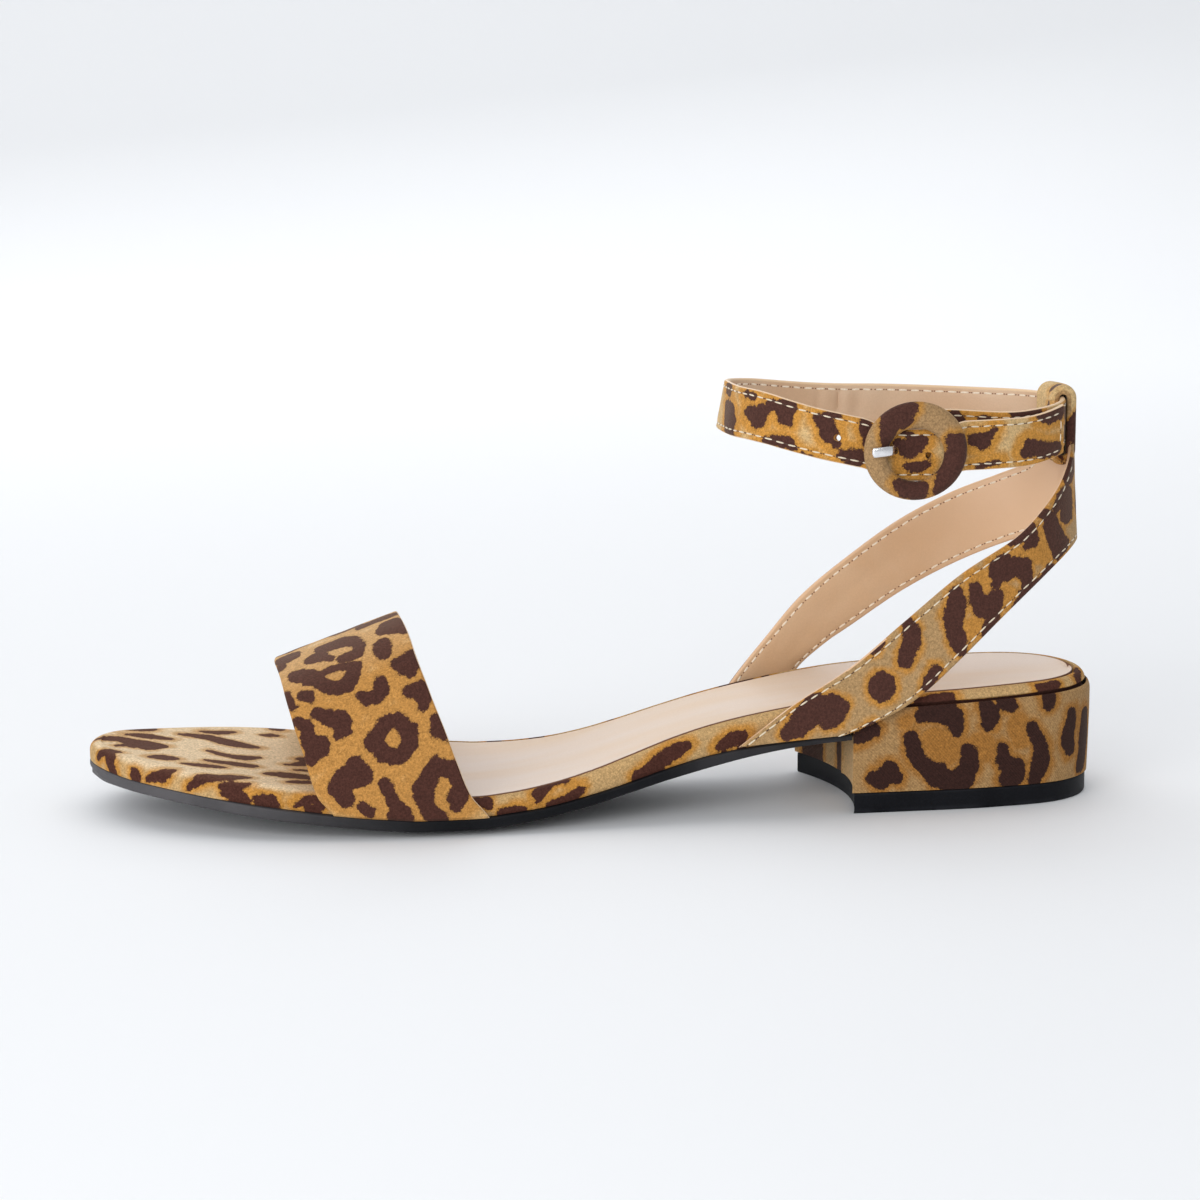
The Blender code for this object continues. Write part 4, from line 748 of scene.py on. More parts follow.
def noise_node(tree, scale, detail=3.0, rough=0.55, stretch=None):
    co = tree.nodes.new("ShaderNodeTexCoord").outputs["Object"]
    if stretch:
        m = tree.nodes.new("ShaderNodeMapping")
        m.inputs["Scale"].default_value = stretch
        tree.links.new(co, m.inputs["Vector"])
        co = m.outputs[0]
    n = tree.nodes.new("ShaderNodeTexNoise")
    n.inputs["Scale"].default_value = scale
    n.inputs["Detail"].default_value = detail
    n.inputs["Roughness"].default_value = rough
    tree.links.new(co, n.inputs["Vector"])
    return n.outputs["Fac"]


def ramp_node(tree, value, lo, hi, to_lo=0.0, to_hi=1.0):
    n = tree.nodes.new("ShaderNodeMapRange")
    n.interpolation_type = "SMOOTHSTEP"
    tree.links.new(value, n.inputs["Value"])
    for key, x in (("From Min", lo), ("From Max", hi), ("To Min", to_lo), ("To Max", to_hi)):
        n.inputs[key].default_value = x
    return n.outputs[0]


def mix_node(tree, fac, a, b, blend="MIX"):
    n = tree.nodes.new("ShaderNodeMix")
    n.data_type = "RGBA"
    n.blend_type = blend
    for key, x in ((0, fac), (6, a), (7, b)):
        if isinstance(x, (tuple, list)):
            n.inputs[key].default_value = x
        elif isinstance(x, (int, float)):
            n.inputs[key].default_value = x
        else:
            tree.links.new(x, n.inputs[key])
    return n.outputs[2]


def attribute(tree, name):
    n = tree.nodes.new("ShaderNodeAttribute")
    n.attribute_name = name
    return n.outputs["Fac"]


def bump_node(tree, bsdf, height, strength, distance):
    n = tree.nodes.new("ShaderNodeBump")
    n.inputs["Strength"].default_value = strength
    n.inputs["Distance"].default_value = distance
    tree.links.new(height, n.inputs["Height"])
    tree.links.new(n.outputs[0], bsdf.inputs["Normal"])


def grey(tree, value):
    n = tree.nodes.new("ShaderNodeCombineColor")
    for k in range(3):
        tree.links.new(value, n.inputs[k])
    return n.outputs[0]


def leopard(name, tan, gold, brown, twill=0.0, field_at=(2.7, 0.4), cream=None, glow=False, sheen=0.2, gloss=0.16):
    """Napped cloth printed with dark marks in golden fields on tan."""
    mat, tree, bsdf = nodes_of(name)
    d = attribute(tree, "spot")
    mid = noise_node(tree, 1000.0, 3.0, 0.6)
    fine = noise_node(tree, 3400.0, 2.0, 0.7)
    rough = math_node(tree, "ADD", math_node(tree, "MULTIPLY", math_node(tree, "SUBTRACT", mid, 0.5), 1.5),
                      math_node(tree, "MULTIPLY", math_node(tree, "SUBTRACT", fine, 0.5), 0.9))
    dist = math_node(tree, "ADD", d, rough)
    mask = ramp_node(tree, dist, 0.14, -0.14)
    broad = noise_node(tree, 150.0, 2.0, 0.5)
    field = math_node(tree, "ADD", dist, math_node(tree, "MULTIPLY", math_node(tree, "SUBTRACT", broad, 0.5), 3.6))
    if glow:
        wide = math_node(tree, "ADD", attribute(tree, "glow"), math_node(tree, "MULTIPLY", math_node(tree, "SUBTRACT", broad, 0.5), 3.0))
        field = math_node(tree, "MINIMUM", field, wide)
    pool, halo = tan, gold
    # painted highlight: where the painted-light attribute is high, the tan ground and golden halos turn toward pale
    # cream and the dark marks toward a lighter brown, for the sheen on upward-facing cloth
    if cream:
        pale = attribute(tree, "light")
        pool = mix_node(tree, pale, tan, cream)
        halo = mix_node(tree, math_node(tree, "MULTIPLY", pale, 0.4), gold, cream)
        brown = mix_node(tree, math_node(tree, "MULTIPLY", pale, 0.5), brown, srgb(101, 68, 55))
    ground = mix_node(tree, ramp_node(tree, field, *field_at), pool, halo)
    nap = noise_node(tree, 1750.0, 2.0, 0.65)
    fleck = ramp_node(tree, fine, 0.25, 0.78, 0.78, 1.18)
    grain = math_node(tree, "MULTIPLY", ramp_node(tree, nap, 0.28, 0.72, 0.78, 1.2), ramp_node(tree, mid, 0.2, 0.8, 0.9, 1.08))
    ground = mix_node(tree, 1.0, ground, grey(tree, math_node(tree, "MULTIPLY", fleck, grain)), "MULTIPLY")
    height = math_node(tree, "ADD", math_node(tree, "MULTIPLY", fine, 0.7), math_node(tree, "MULTIPLY", nap, 0.9))
    if twill:
        wave = tree.nodes.new("ShaderNodeTexWave")
        wave.wave_type, wave.bands_direction, wave.wave_profile = "BANDS", "DIAGONAL", "SIN"
        wave.inputs["Scale"].default_value = 720.0
        wave.inputs["Distortion"].default_value = 1.2
        wave.inputs["Detail"].default_value = 1.0
        wave.inputs["Detail Scale"].default_value = 2.0
        tree.links.new(tree.nodes.new("ShaderNodeTexCoord").outputs["Object"], wave.inputs["Vector"])
        rib = wave.outputs["Fac"]
        ground = mix_node(tree, 1.0, ground, grey(tree, ramp_node(tree, rib, 0.1, 0.9, 1.0 - twill, 1.0 + twill)), "MULTIPLY")
        height = math_node(tree, "ADD", height, math_node(tree, "MULTIPLY", rib, 0.5))
    dark = mix_node(tree, 1.0, brown, grey(tree, math_node(tree, "MULTIPLY", ramp_node(tree, fine, 0.2, 0.85, 0.8, 1.25), ramp_node(tree, nap, 0.28, 0.72, 0.8, 1.3))), "MULTIPLY")
    edge = ramp_node(tree, dist, 0.55, 0.05)
    ground = mix_node(tree, math_node(tree, "MULTIPLY", edge, 0.42), ground, tuple(0.56 * c for c in gold[:3]) + (1.0,))
    tree.links.new(mix_node(tree, mask, ground, dark), bsdf.inputs["Base Color"])
    bump_node(tree, bsdf, height, 0.4, 0.0003)
    bsdf.inputs["Roughness"].default_value = 0.84
    bsdf.inputs["Specular IOR Level"].default_value = gloss
    bsdf.inputs["Sheen Weight"].default_value = sheen
    bsdf.inputs["Sheen Roughness"].default_value = 0.4
    bsdf.inputs["Sheen Tint"].default_value = srgb(255, 232, 200)
    return mat


def leather(name, colour, warm, roughness, edge_colour=None, edge_at=(0.62, 0.38), streak=None, gloss=0.4, lit_tone=None):
    mat, tree, bsdf = nodes_of(name)
    cloud = noise_node(tree, 38.0 if streak is None else 30.0, 3.0, 0.5, streak)
    pore = noise_node(tree, 2600.0, 2.0, 0.6)
    col = mix_node(tree, ramp_node(tree, cloud, 0.34, 0.68), colour, warm)
    col = mix_node(tree, 1.0, col, grey(tree, ramp_node(tree, pore, 0.25, 0.8, 0.955, 1.03)), "MULTIPLY")
    # painted light: the colour turns toward the paler lit tone where the painted-light attribute is high
    if lit_tone:
        col = mix_node(tree, attribute(tree, "light"), col, lit_tone)
    if edge_colour:
        wob = math_node(tree, "ADD", attribute(tree, "edge"), math_node(tree, "MULTIPLY", math_node(tree, "SUBTRACT", noise_node(tree, 500.0), 0.5), 0.3))
        col = mix_node(tree, ramp_node(tree, wob, edge_at[0], edge_at[1]), col, edge_colour)
    tree.links.new(col, bsdf.inputs["Base Color"])
    bump_node(tree, bsdf, math_node(tree, "ADD", pore, math_node(tree, "MULTIPLY", noise_node(tree, 600.0, 3.0), 0.8)), 0.12, 0.0003)
    bsdf.inputs["Roughness"].default_value = roughness
    bsdf.inputs["Specular IOR Level"].default_value = gloss
    return mat


def rubber(name, colour, roughness, rim_tone=None, dust=None):
    mat, tree, bsdf = nodes_of(name)
    speck = noise_node(tree, 2400.0, 3.0, 0.65)
    smear = noise_node(tree, 90.0, 4.0, 0.6)
    col = mix_node(tree, 1.0, colour, grey(tree, math_node(tree, "MULTIPLY", ramp_node(tree, speck, 0.25, 0.8, 0.72, 1.3), ramp_node(tree, smear, 0.3, 0.75, 0.85, 1.2))), "MULTIPLY")
    # the rubber turns a paler grey along its rounded rims, where the rim weight is low
    if rim_tone:
        col = mix_node(tree, math_node(tree, "MULTIPLY", ramp_node(tree, attribute(tree, "edge"), 0.55, 0.0), ramp_node(tree, smear, 0.35, 0.7)), col, rim_tone)
    # dust and painted sheen: where this weight is high the rubber turns a lighter grey
    if dust:
        col = mix_node(tree, math_node(tree, "MULTIPLY", attribute(tree, "dust"), ramp_node(tree, smear, 0.2, 0.6, 0.7, 1.0)), col, dust)
    tree.links.new(col, bsdf.inputs["Base Color"])
    bump_node(tree, bsdf, speck, 0.25, 0.0002)
    bsdf.inputs["Roughness"].default_value = roughness
    bsdf.inputs["Specular IOR Level"].default_value = 0.1
    return mat


def thread(name, colour):
    mat, tree, bsdf = nodes_of(name)
    n = noise_node(tree, 3000.0, 2.0)
    tree.links.new(mix_node(tree, 1.0, colour, grey(tree, ramp_node(tree, n, 0.2, 0.8, 0.78, 1.08)), "MULTIPLY"), bsdf.inputs["Base Color"])
    bump_node(tree, bsdf, noise_node(tree, 5200.0, 1.0), 0.3, 0.0001)
    bsdf.inputs["Roughness"].default_value = 0.7
    bsdf.inputs["Sheen Weight"].default_value = 0.2
    return mat


def polished(name, colour, roughness):
    mat, tree, bsdf = nodes_of(name)
    n = noise_node(tree, 900.0, 3.0, 0.6)
    tree.links.new(mix_node(tree, 1.0, colour, grey(tree, ramp_node(tree, n, 0.2, 0.8, 0.9, 1.03)), "MULTIPLY"), bsdf.inputs["Base Color"])
    bump_node(tree, bsdf, noise_node(tree, 2600.0, 2.0), 0.06, 0.0001)
    bsdf.inputs["Metallic"].default_value = 1.0
    bsdf.inputs["Roughness"].default_value = roughness
    return mat


TAN = srgb(171, 138, 95)
GOLD = srgb(184, 130, 60)
BROWN = srgb(71, 43, 36)
MAT = {}


# --------------------------------------------------------------------- meshes
def mesh_piece(name, verts, faces, mats, face_mats=None, merge=True, **attrs):
    """One closed piece from shoe-axis points in mm, faces turned outward."""
    verts = np.asarray(verts, float).reshape(-1, 3)
    world = np.column_stack([SHIFT_S - verts[:, 0], verts[:, 1] + SHIFT_Y, verts[:, 2]]) * 0.001
    mesh = bpy.data.meshes.new(name)
    mesh.from_pydata(world.tolist(), [], [list(map(int, f)) for f in faces])
    for key, value in attrs.items():
        a = mesh.attributes.new(key, "FLOAT", "POINT")
        a.data.foreach_set("value", np.asarray(value, np.float32).ravel())
    for m in mats:
        mesh.materials.append(m)
    if face_mats is not None:
        mesh.polygons.foreach_set("material_index", np.asarray(face_mats, np.int32))
    bm = bmesh.new()
    bm.from_mesh(mesh)
    if merge:
        bmesh.ops.remove_doubles(bm, verts=bm.verts[:], dist=2e-6)
        bmesh.ops.dissolve_degenerate(bm, edges=bm.edges[:], dist=1e-7)
    bmesh.ops.recalc_face_normals(bm, faces=bm.faces[:])
    if bm.calc_volume(signed=True) < 0:
        bmesh.ops.reverse_faces(bm, faces=bm.faces[:])
    bm.to_mesh(mesh)
    bm.free()
    mesh.shade_smooth()
    mesh.set_sharp_from_angle(angle=math.radians(48))
    ob = bpy.data.objects.new(name, mesh)
    bpy.context.scene.collection.objects.link(ob)
    return ob


def grid_faces(index):
    a, b, c, d = index[:-1, :-1], index[1:, :-1], index[1:, 1:], index[:-1, 1:]
    return np.stack([a, b, c, d], axis=-1).reshape(-1, 4)


def placed(ob, node):
    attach(ob, "root")
    if node:
        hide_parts(node)
    return ob


def facing(grid, toward):
    """Unit normals of a strap's middle surface on its outer side."""
    n = normals_of(grid)
    r, c = toward[0], toward[1]
    if np.dot(n[r, c], toward[2]) < 0:
        n = -n
    return n


def band(name, grid, U, V, N, spot, mats, stitch=None, ripple=None, ends=(True, True), pale=0.0, pad=0.0, light=None, turned=None, glow=None):
    """Strap with rolled edges: printed face outside, lining inside."""
    R, C = grid.shape[:2]
    width = V[:, -1:]
    length = U[-1, 0]
    side = np.minimum(V, width - V)
    d = side
    if ends[0]:
        d = np.minimum(d, U)
    if ends[1]:
        d = np.minimum(d, length - U)
    h = WALL / 2 * np.sqrt(np.clip(1 - (1 - np.clip(d / 0.75, 0, 1)) ** 2, 0, 1))
    h[0], h[-1] = 0, 0
    h[:, 0], h[:, -1] = 0, 0
    soft = 0.05 * wavy(U, V, 9.0, 41) * np.clip(d / 1.5, 0, 1)
    face = h + soft
    back = h - soft
    back = back + pad * np.clip(1 - (2 * V / width - 1) ** 2, 0, 1) * np.clip(d / 2.0, 0, 1)
    if stitch:
        for inset, s_of in ((stitch, V), (stitch, width - V)):
            g = np.exp(-((s_of - inset) / 0.42) ** 2)
            face = face - g * 0.14 * (h > 0.7)
            back = back - g * 0.10 * (h > 0.7)
    if ripple is not None:
        face = face - ripple
        back = back + ripple
    outer = grid + N * face[..., None]
    inner = grid - N * back[..., None]
    io = np.arange(R * C).reshape(R, C)
    ii = io.copy()
    core = np.zeros((R, C), bool)
    core[1:-1, 1:-1] = True
    ii[core] = R * C + np.arange(core.sum())
    verts = np.vstack([outer.reshape(-1, 3), inner[core]])
    fo, fi = grid_faces(io), grid_faces(ii)[:, ::-1]
    rim = np.maximum(np.maximum(side[:-1, :-1], side[1:, 1:]), np.maximum(side[1:, :-1], side[:-1, 1:])).reshape(-1)
    lined = np.ones(len(fi), int)
    # from the turned mark on, the lining side is printed cloth: the folded end's own face, and also a darker sheet that
    # stands in for the shade seen there
    if turned is not None:
        lined[(U[:-1, :-1] > turned).reshape(-1)] = 0
    face_mats = np.concatenate([np.where(rim < pale, 1, 0), lined])
    sp = np.concatenate([spot.ravel(), spot[core]])
    ed = np.concatenate([side.ravel(), side[core]])
    more = {key: np.concatenate([a.ravel(), a[core]]) for key, a in (("light", light), ("glow", glow)) if a is not None}
    ob = mesh_piece(name, verts, np.vstack([fo, fi]), mats, face_mats, merge=False, spot=sp, edge=ed, **more)
    return ob, outer, inner


def path_across(surface, V, inset, from_top):
    """Line on a strap face at a fixed distance from one edge."""
    width = V[:, -1]
    want = width - inset if from_top else np.full(len(width), inset)
    out = []
    for i in range(len(surface)):
        out.append([np.interp(want[i], V[i], surface[i, :, k]) for k in range(3)])
    return np.array(out)


def stitches(runs, pitch=3.15, length=2.35, radius=0.175, seed=3):
    """Thread lying on the strap: short rounded bars that dive in at both ends.

    runs: list of (path, normals) in mm."""
    rng = np.random.default_rng(seed)
    verts, faces = [], []
    dots, dot_faces = [], []
    sides, steps = 6, 7
    for path, nrm in runs:
        run = run_of(path)
        n = int(run[-1] // pitch)
        for k in range(n):
            a = (k + 0.5 + rng.uniform(-0.05, 0.05)) * pitch + (run[-1] - n * pitch) / 2
            L = length * rng.uniform(0.88, 1.08)
            t = np.linspace(-0.5, 0.5, steps)
            where = a + t * L
            p = at_run(path, where)
            m = np.stack([np.interp(where, run, nrm[:, q]) for q in range(3)], axis=1)
            m /= np.linalg.norm(m, axis=1)[:, None]
            tan = np.gradient(p, axis=0)
            tan /= np.linalg.norm(tan, axis=1)[:, None]
            b = np.cross(tan, m)
            drift = rng.uniform(-0.09, 0.09)
            lift = 0.16 * np.cos(t * np.pi) ** 0.6 - 0.14
            w = radius * (0.55 + 0.45 * np.cos(t * np.pi) ** 0.5)
            base = len(verts)
            for i in range(steps):
                c = p[i] + m[i] * lift[i] + b[i] * drift * (t[i] * 2)
                for q in range(sides):
                    ang = 2 * math.pi * q / sides
                    verts.append(c + b[i] * w[i] * 1.12 * math.cos(ang) + m[i] * w[i] * 0.9 * math.sin(ang))
            for i in range(steps - 1):
                for q in range(sides):
                    q2 = (q + 1) % sides
                    faces.append((base + i * sides + q, base + i * sides + q2, base + (i + 1) * sides + q2, base + (i + 1) * sides + q))
            faces.append(tuple(base + q for q in range(sides)))
            faces.append(tuple(base + (steps - 1) * sides + q for q in range(sides)))
            for end in (0, steps - 1):
                base = len(dots)
                out = tan[end] * (-0.16 if end == 0 else 0.16)
                for wide, high in ((1.0, -0.06), (1.0, 0.03), (0.6, 0.055)):
                    for q in range(8):
                        ang = 2 * math.pi * q / 8
                        dots.append(p[end] + out + m[end] * high + tan[end] * 0.22 * wide * math.cos(ang) + b[end] * 0.18 * wide * math.sin(ang))
                for k2 in range(2):
                    for q in range(8):
                        q2 = (q + 1) % 8
                        dot_faces.append((base + k2 * 8 + q, base + k2 * 8 + q2, base + k2 * 8 + 8 + q2, base + k2 * 8 + 8 + q))
                dot_faces.append(tuple(base + q for q in range(8)))
                dot_faces.append(tuple(base + 16 + q for q in range(8)))
    return verts, faces, dots, dot_faces


def stitched(name, runs, mat, slot, hole, **kw):
    v, f, dots, dot_faces = stitches(runs, **kw)
    placed(mesh_piece(name, v, f, [mat], merge=False), None)
    placed(mesh_piece(name + "_holes", dots, dot_faces, [hole], merge=False), None)


def loops_body(name, loops, mats, merge=True, **attrs):
    """Closed body from stacked closed loops of equal count, capped at both ends."""
    n = len(loops[0])
    verts = np.vstack(loops)
    faces = []
    for k in range(len(loops) - 1):
        a = np.arange(n) + k * n
        b = a + n
        faces += np.stack([a, np.roll(a, -1), np.roll(b, -1), b], axis=1).tolist()
    faces.append(list(range(n)))
    faces.append(list(range((len(loops) - 1) * n, len(loops) * n)))
    return mesh_piece(name, verts, faces, mats, merge=merge, **attrs)


def tube(path, section, ends=None):
    """Vertices and faces of a bar: section (across, out) carried along a path, with scale at each step."""
    path = np.asarray(path, float)
    along = np.gradient(path, axis=0)
    along /= np.linalg.norm(along, axis=1)[:, None]
    ref = np.array((0.0, 0.0, 1.0)) if abs(along[:, 2]).max() < 0.9 else np.array((1.0, 0.0, 0.0))
    scale = np.ones(len(path)) if ends is None else ends
    verts, faces = [], []
    m = len(section)
    for p, t, k in zip(path, along, scale):
        side = np.cross(t, ref)
        side /= np.linalg.norm(side)
        up = np.cross(side, t)
        verts += [p + k * a * side + k * b * up for a, b in section]
    for i in range(len(path) - 1):
        for k in range(m):
            faces.append((i * m + k, i * m + (k + 1) % m, (i + 1) * m + (k + 1) % m, (i + 1) * m + k))
    faces.append(tuple(range(m)))
    faces.append(tuple(range((len(path) - 1) * m, len(path) * m)))
    return verts, faces


# ---------------------------------------------------------------- start, frame
for old in list(bpy.data.objects):
    bpy.data.objects.remove(old, do_unlink=True)
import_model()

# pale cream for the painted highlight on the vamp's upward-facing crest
HIGHLIGHT_CREAM = srgb(226, 197, 154)
MAT["strap"] = leopard("leopard_strap", TAN, GOLD, BROWN, field_at=(2.1, 0.3), glow=True)
MAT["vamp"] = leopard("leopard_vamp", srgb(206, 166, 110), srgb(183, 132, 69), BROWN, field_at=(5.6, 1.8), cream=HIGHLIGHT_CREAM, sheen=0.1, gloss=0.1)
MAT["ankle"] = leopard("leopard_ankle", srgb(200, 168, 119), srgb(192, 136, 60), BROWN, field_at=(3.9, 1.2))
# the wrap's cream is its painted highlight on the upward-facing toe top
MAT["wrap"] = leopard("leopard_wrap", srgb(188, 154, 106), srgb(186, 132, 62), BROWN, cream=srgb(226, 201, 165), sheen=0.03, gloss=0.05)
MAT["heel"] = leopard("leopard_heel", srgb(163, 128, 84), srgb(155, 106, 49), srgb(50, 29, 24), twill=0.06, glow=True, sheen=0.06)
# a lighter copy of the heel cloth for the heel front: painted light where that face catches the light
MAT["heel_front"] = leopard("leopard_heel_front", srgb(206, 166, 113), srgb(196, 138, 68), srgb(70, 44, 36), twill=0.06)
MAT["ring"] = leopard("leopard_ring", srgb(160, 128, 89), srgb(176, 126, 60), BROWN, field_at=(2.2, 0.2))
MAT["loop"] = leopard("leopard_loop", srgb(202, 172, 124), srgb(196, 150, 86), BROWN)
MAT["lining"] = leather("strap_lining", srgb(208, 180, 152), srgb(200, 166, 134), 0.42, gloss=0.34, edge_colour=srgb(224, 192, 154), edge_at=(0.7, 0.3))
# the sling lining's paler tone is painted light, not a real fade
MAT["sling_lining"] = leather("sling_lining", srgb(204, 171, 137), srgb(197, 158, 119), 0.42, gloss=0.34, edge_colour=srgb(214, 176, 140), edge_at=(0.7, 0.3), lit_tone=srgb(227, 193, 160))
MAT["sock"] = leather("sock_leather", srgb(217, 200, 186), srgb(215, 189, 162), 0.48, gloss=0.2, edge_colour=srgb(104, 66, 44), streak=(0.35, 1.6, 1.0))
MAT["sole"] = rubber("sole_rubber", srgb(19, 20, 23), 0.5, rim_tone=srgb(30, 30, 33), dust=srgb(85, 83, 85))
MAT["lift"] = rubber("lift_rubber", srgb(17, 18, 22), 0.5, rim_tone=srgb(36, 37, 41))
MAT["thread"] = thread("cream_thread", srgb(228, 214, 188))
# a paler copy of the cream thread for the inside stitches: painted light against the shade that falls there
MAT["thread_in"] = thread("cream_thread_inside_lit_copy", srgb(240, 226, 204))
MAT["hole"] = thread("needle_hole", srgb(74, 47, 32))
MAT["hole_in"] = thread("needle_hole_inside", srgb(122, 82, 56))
MAT["metal"] = polished("prong_silver", (0.86, 0.86, 0.87, 1.0), 0.2)
MAT["bar"] = polished("bar_silver", (0.7, 0.69, 0.67, 1.0), 0.3)

# ------------------------------------------------------------------- footbed
grid, U, V = bed_surface()
inner_line = lambda s: edge_y("inner", s)
extra = scattered(-6, 255, 5, 48, 21, keep=lambda u, v: v > float(edge_y("inner", np.clip(u, 1.3, 251))) - 2.0 or (u < 8 and v > 3))
spot = spot_distance(U, V, SPOTS["bed"] + extra, 5)
# the wrapped edge is painted dark brown where it tucks in over the heel: painted shade in the groove between footbed
# and heel
fold_in = bed_top(grid[..., 0], grid[..., 1]) - grid[..., 2]
spot = np.where((fold_in > 2.3) & (grid[..., 0] < 70), -1.0, spot)
R, C = grid.shape[:2]
index = np.arange(R * C).reshape(R, C)
faces = grid_faces(index).tolist()
faces += [[index[i, 0], index[i, -1], index[i + 1, -1], index[i + 1, 0]] for i in range(R - 1)]
up = np.abs(normals_of(grid)[..., 2])
# painted highlight: upward-facing faces of the toe, from about s = 190 mm forward, take the pale cream of the painted
# light
light = ramp(grid[..., 0], 190, 206) * ramp(up, 0.62, 0.99)
bed = mesh_piece("footbed_wrap", grid.reshape(-1, 3), faces, [MAT["wrap"]], spot=spot, edge=np.full(R * C, 5.0), light=light)
placed(bed, "footbed")

# ---------------------------------------------------------------------- sock
fr = {}
for side in ("outer", "inner"):
    end = SOCK_FRONT - 2.0 - SKEW * float(edge_y(side, SOCK_FRONT))
    t = crowded(300, 0.6)
    fr[side] = fraction_at(side, end) * t
cols, dist = [], []
inset = EDGE_R + 0.5 + 0.35
po, pi_ = edge_points("outer", -inset, fr["outer"]), edge_points("inner", -inset, fr["inner"])
span = np.linalg.norm(po - pi_, axis=1)
f_list = np.concatenate([[0.0, 0.0, 0.0], np.array((0.004, 0.01, 0.02, 0.035)), np.linspace(0.05, 0.95, 56), 1 - np.array((0.035, 0.02, 0.01, 0.004)), [1.0, 1.0, 1.0]])
drop = np.concatenate([[SOCK_THICK, 0.45, 0.22, 0.1, 0.03, 0.0, 0.0], np.zeros(56), [0.0, 0.0, 0.03, 0.1, 0.22, 0.45, SOCK_THICK]])
under = f_list[1:-1][::-1]
for f, dz, top in [(f, dz, True) for f, dz in zip(f_list, drop)] + [(f, SOCK_THICK, False) for f in under]:
    p = po * (1 - f) + pi_ * f
    z = bed_floor(p[:, 0], p[:, 1], f) + GAP + SOCK_THICK - dz
    crease = 0.10 * wavy(p[:, 0], p[:, 1], 34.0, 77) * min(1.0, 6 * f * (1 - f)) * top
    cols.append(np.column_stack([p, z + crease]))
    dist.append(np.minimum(span * min(f, 1 - f), fr["outer"] * 252.0) if top else np.full(len(p), 5.0))
grid = np.stack(cols, axis=1)
dist = np.stack(dist, axis=1)
R, C = grid.shape[:2]
index = np.arange(R * C).reshape(R, C)
faces = grid_faces(np.hstack([index, index[:, :1]])).tolist()
n_top = len(f_list)
ends = index[-1]
for k in range(n_top - 1):
    low = [ends[-k] if 0 < k < n_top - 1 else ends[k], ends[-(k + 1)] if k + 1 < n_top - 1 else ends[k + 1]]
    quad = [ends[k], ends[k + 1], low[1], low[0]]
    faces.append([int(v) for i, v in enumerate(quad) if v not in quad[:i]])
sock = mesh_piece("sock_lining", grid.reshape(-1, 3), [f for f in faces if len(f) > 2], [MAT["sock"]], edge=dist)
placed(sock, "sock_lining")

# ------------------------------------------------------------------- outsole
fr = {}
for side in ("outer", "inner"):
    first = fraction_at(side, BREAST[side] + GAP)
    fr[side] = first + (1 - first) * crowded(330, 0.7)


def sole_edge(side, inset):
    s = edge_points(side, 0.0, fr[side])[:, 0]
    return edge_points(side, SOLE_MARGIN + (SOLE_TOE_MARGIN - SOLE_MARGIN) * ramp(s, 206.0, 230.0) - inset, fr[side])


def tread(s, y, f):
    return sole_under(s, y) + SOLE_ROLL * np.clip((np.abs(2 * f - 1) - 0.4) / 0.6, 0.0, 1.0) ** 2 - 0.75 * np.exp(-((s - 106.0) / 15.0) ** 2) + 1.3 * ramp(s, 246.5, 252.0) ** 2


o0, i0 = sole_edge("outer", 0.5), sole_edge("inner", 0.5)
cols, rim_tone = [], []


def sole_side(side, f):
    out, w = [], []
    e = sole_edge(side, 0.0)
    low = tread(e[:, 0], e[:, 1], f)
    top = bed_under(e[:, 0], e[:, 1]) - 0.04
    out.append(np.column_stack([sole_edge(side, 0.35), top])); w.append(0.6)
    out.append(np.column_stack([sole_edge(side, 0.1), top - 0.08])); w.append(0.1)
    for k in np.linspace(0, 1, 7):
        out.append(np.column_stack([e, (top - 0.3) * (1 - k) + (low + 0.55) * k])); w.append(0.3 + 1.2 * min(k, 1 - k))
    for a in np.radians((30, 60)):
        out.append(np.column_stack([sole_edge(side, 0.5 * (1 - math.cos(a))), low + 0.5 - 0.45 * math.sin(a)])); w.append(0.05)
    return out, w


so, wo = sole_side("outer", 0.0)
si, wi = sole_side("inner", 1.0)
cols += so
rim_tone += wo
for f in np.linspace(0, 1, 61):
    p = o0 * (1 - f) + i0 * f
    z = tread(p[:, 0], p[:, 1], f)
    st = p[:, 0] + SKEW * p[:, 1]
    rib = 0.16 * (0.5 + 0.5 * np.cos(2 * np.pi * st / 3.2)) ** 4 * ramp(abs(f - 0.5), 0.28, 0.24) * ramp(st, 128, 134) * ramp(st, 236, 230)
    cols.append(np.column_stack([p, z + rib]))
    rim_tone.append(0.5)
cols += si[::-1]
rim_tone += wi[::-1]
grid = np.stack(cols, axis=1)
near = np.clip(1 - (grid[:, :, 0] - grid[:1, :, 0]) / 15.0, 0, 1) ** 1.5
hump = np.linspace(0, 1, grid.shape[1])
frac = np.clip((grid[:, :, 1] - grid[:, :1, 1]) / (grid[:, -1:, 1] - grid[:, :1, 1] + 1e-9), 0, 1)
grid[:, :, 0] -= HOLLOW * 4 * frac * (1 - frac) * near
R, C = grid.shape[:2]
index = np.arange(R * C).reshape(R, C)
faces = grid_faces(index).tolist()
faces += [[index[i, 0], index[i, -1], index[i + 1, -1], index[i + 1, 0]] for i in range(R - 1)]
faces.append(index[0, :].tolist())
# dust and painted sheen: the toe end of the sole, and faintly its rear part behind s = 118 mm, turn a lighter grey
dust = ramp(grid[..., 0], 165, 240) + 0.3 * ramp(grid[..., 0], 118, 100)
sole = mesh_piece("outsole", grid.reshape(-1, 3), faces, [MAT["sole"]], dust=dust, edge=np.broadcast_to(np.array(rim_tone)[None, :], (R, C)))
placed(sole, "outsole")

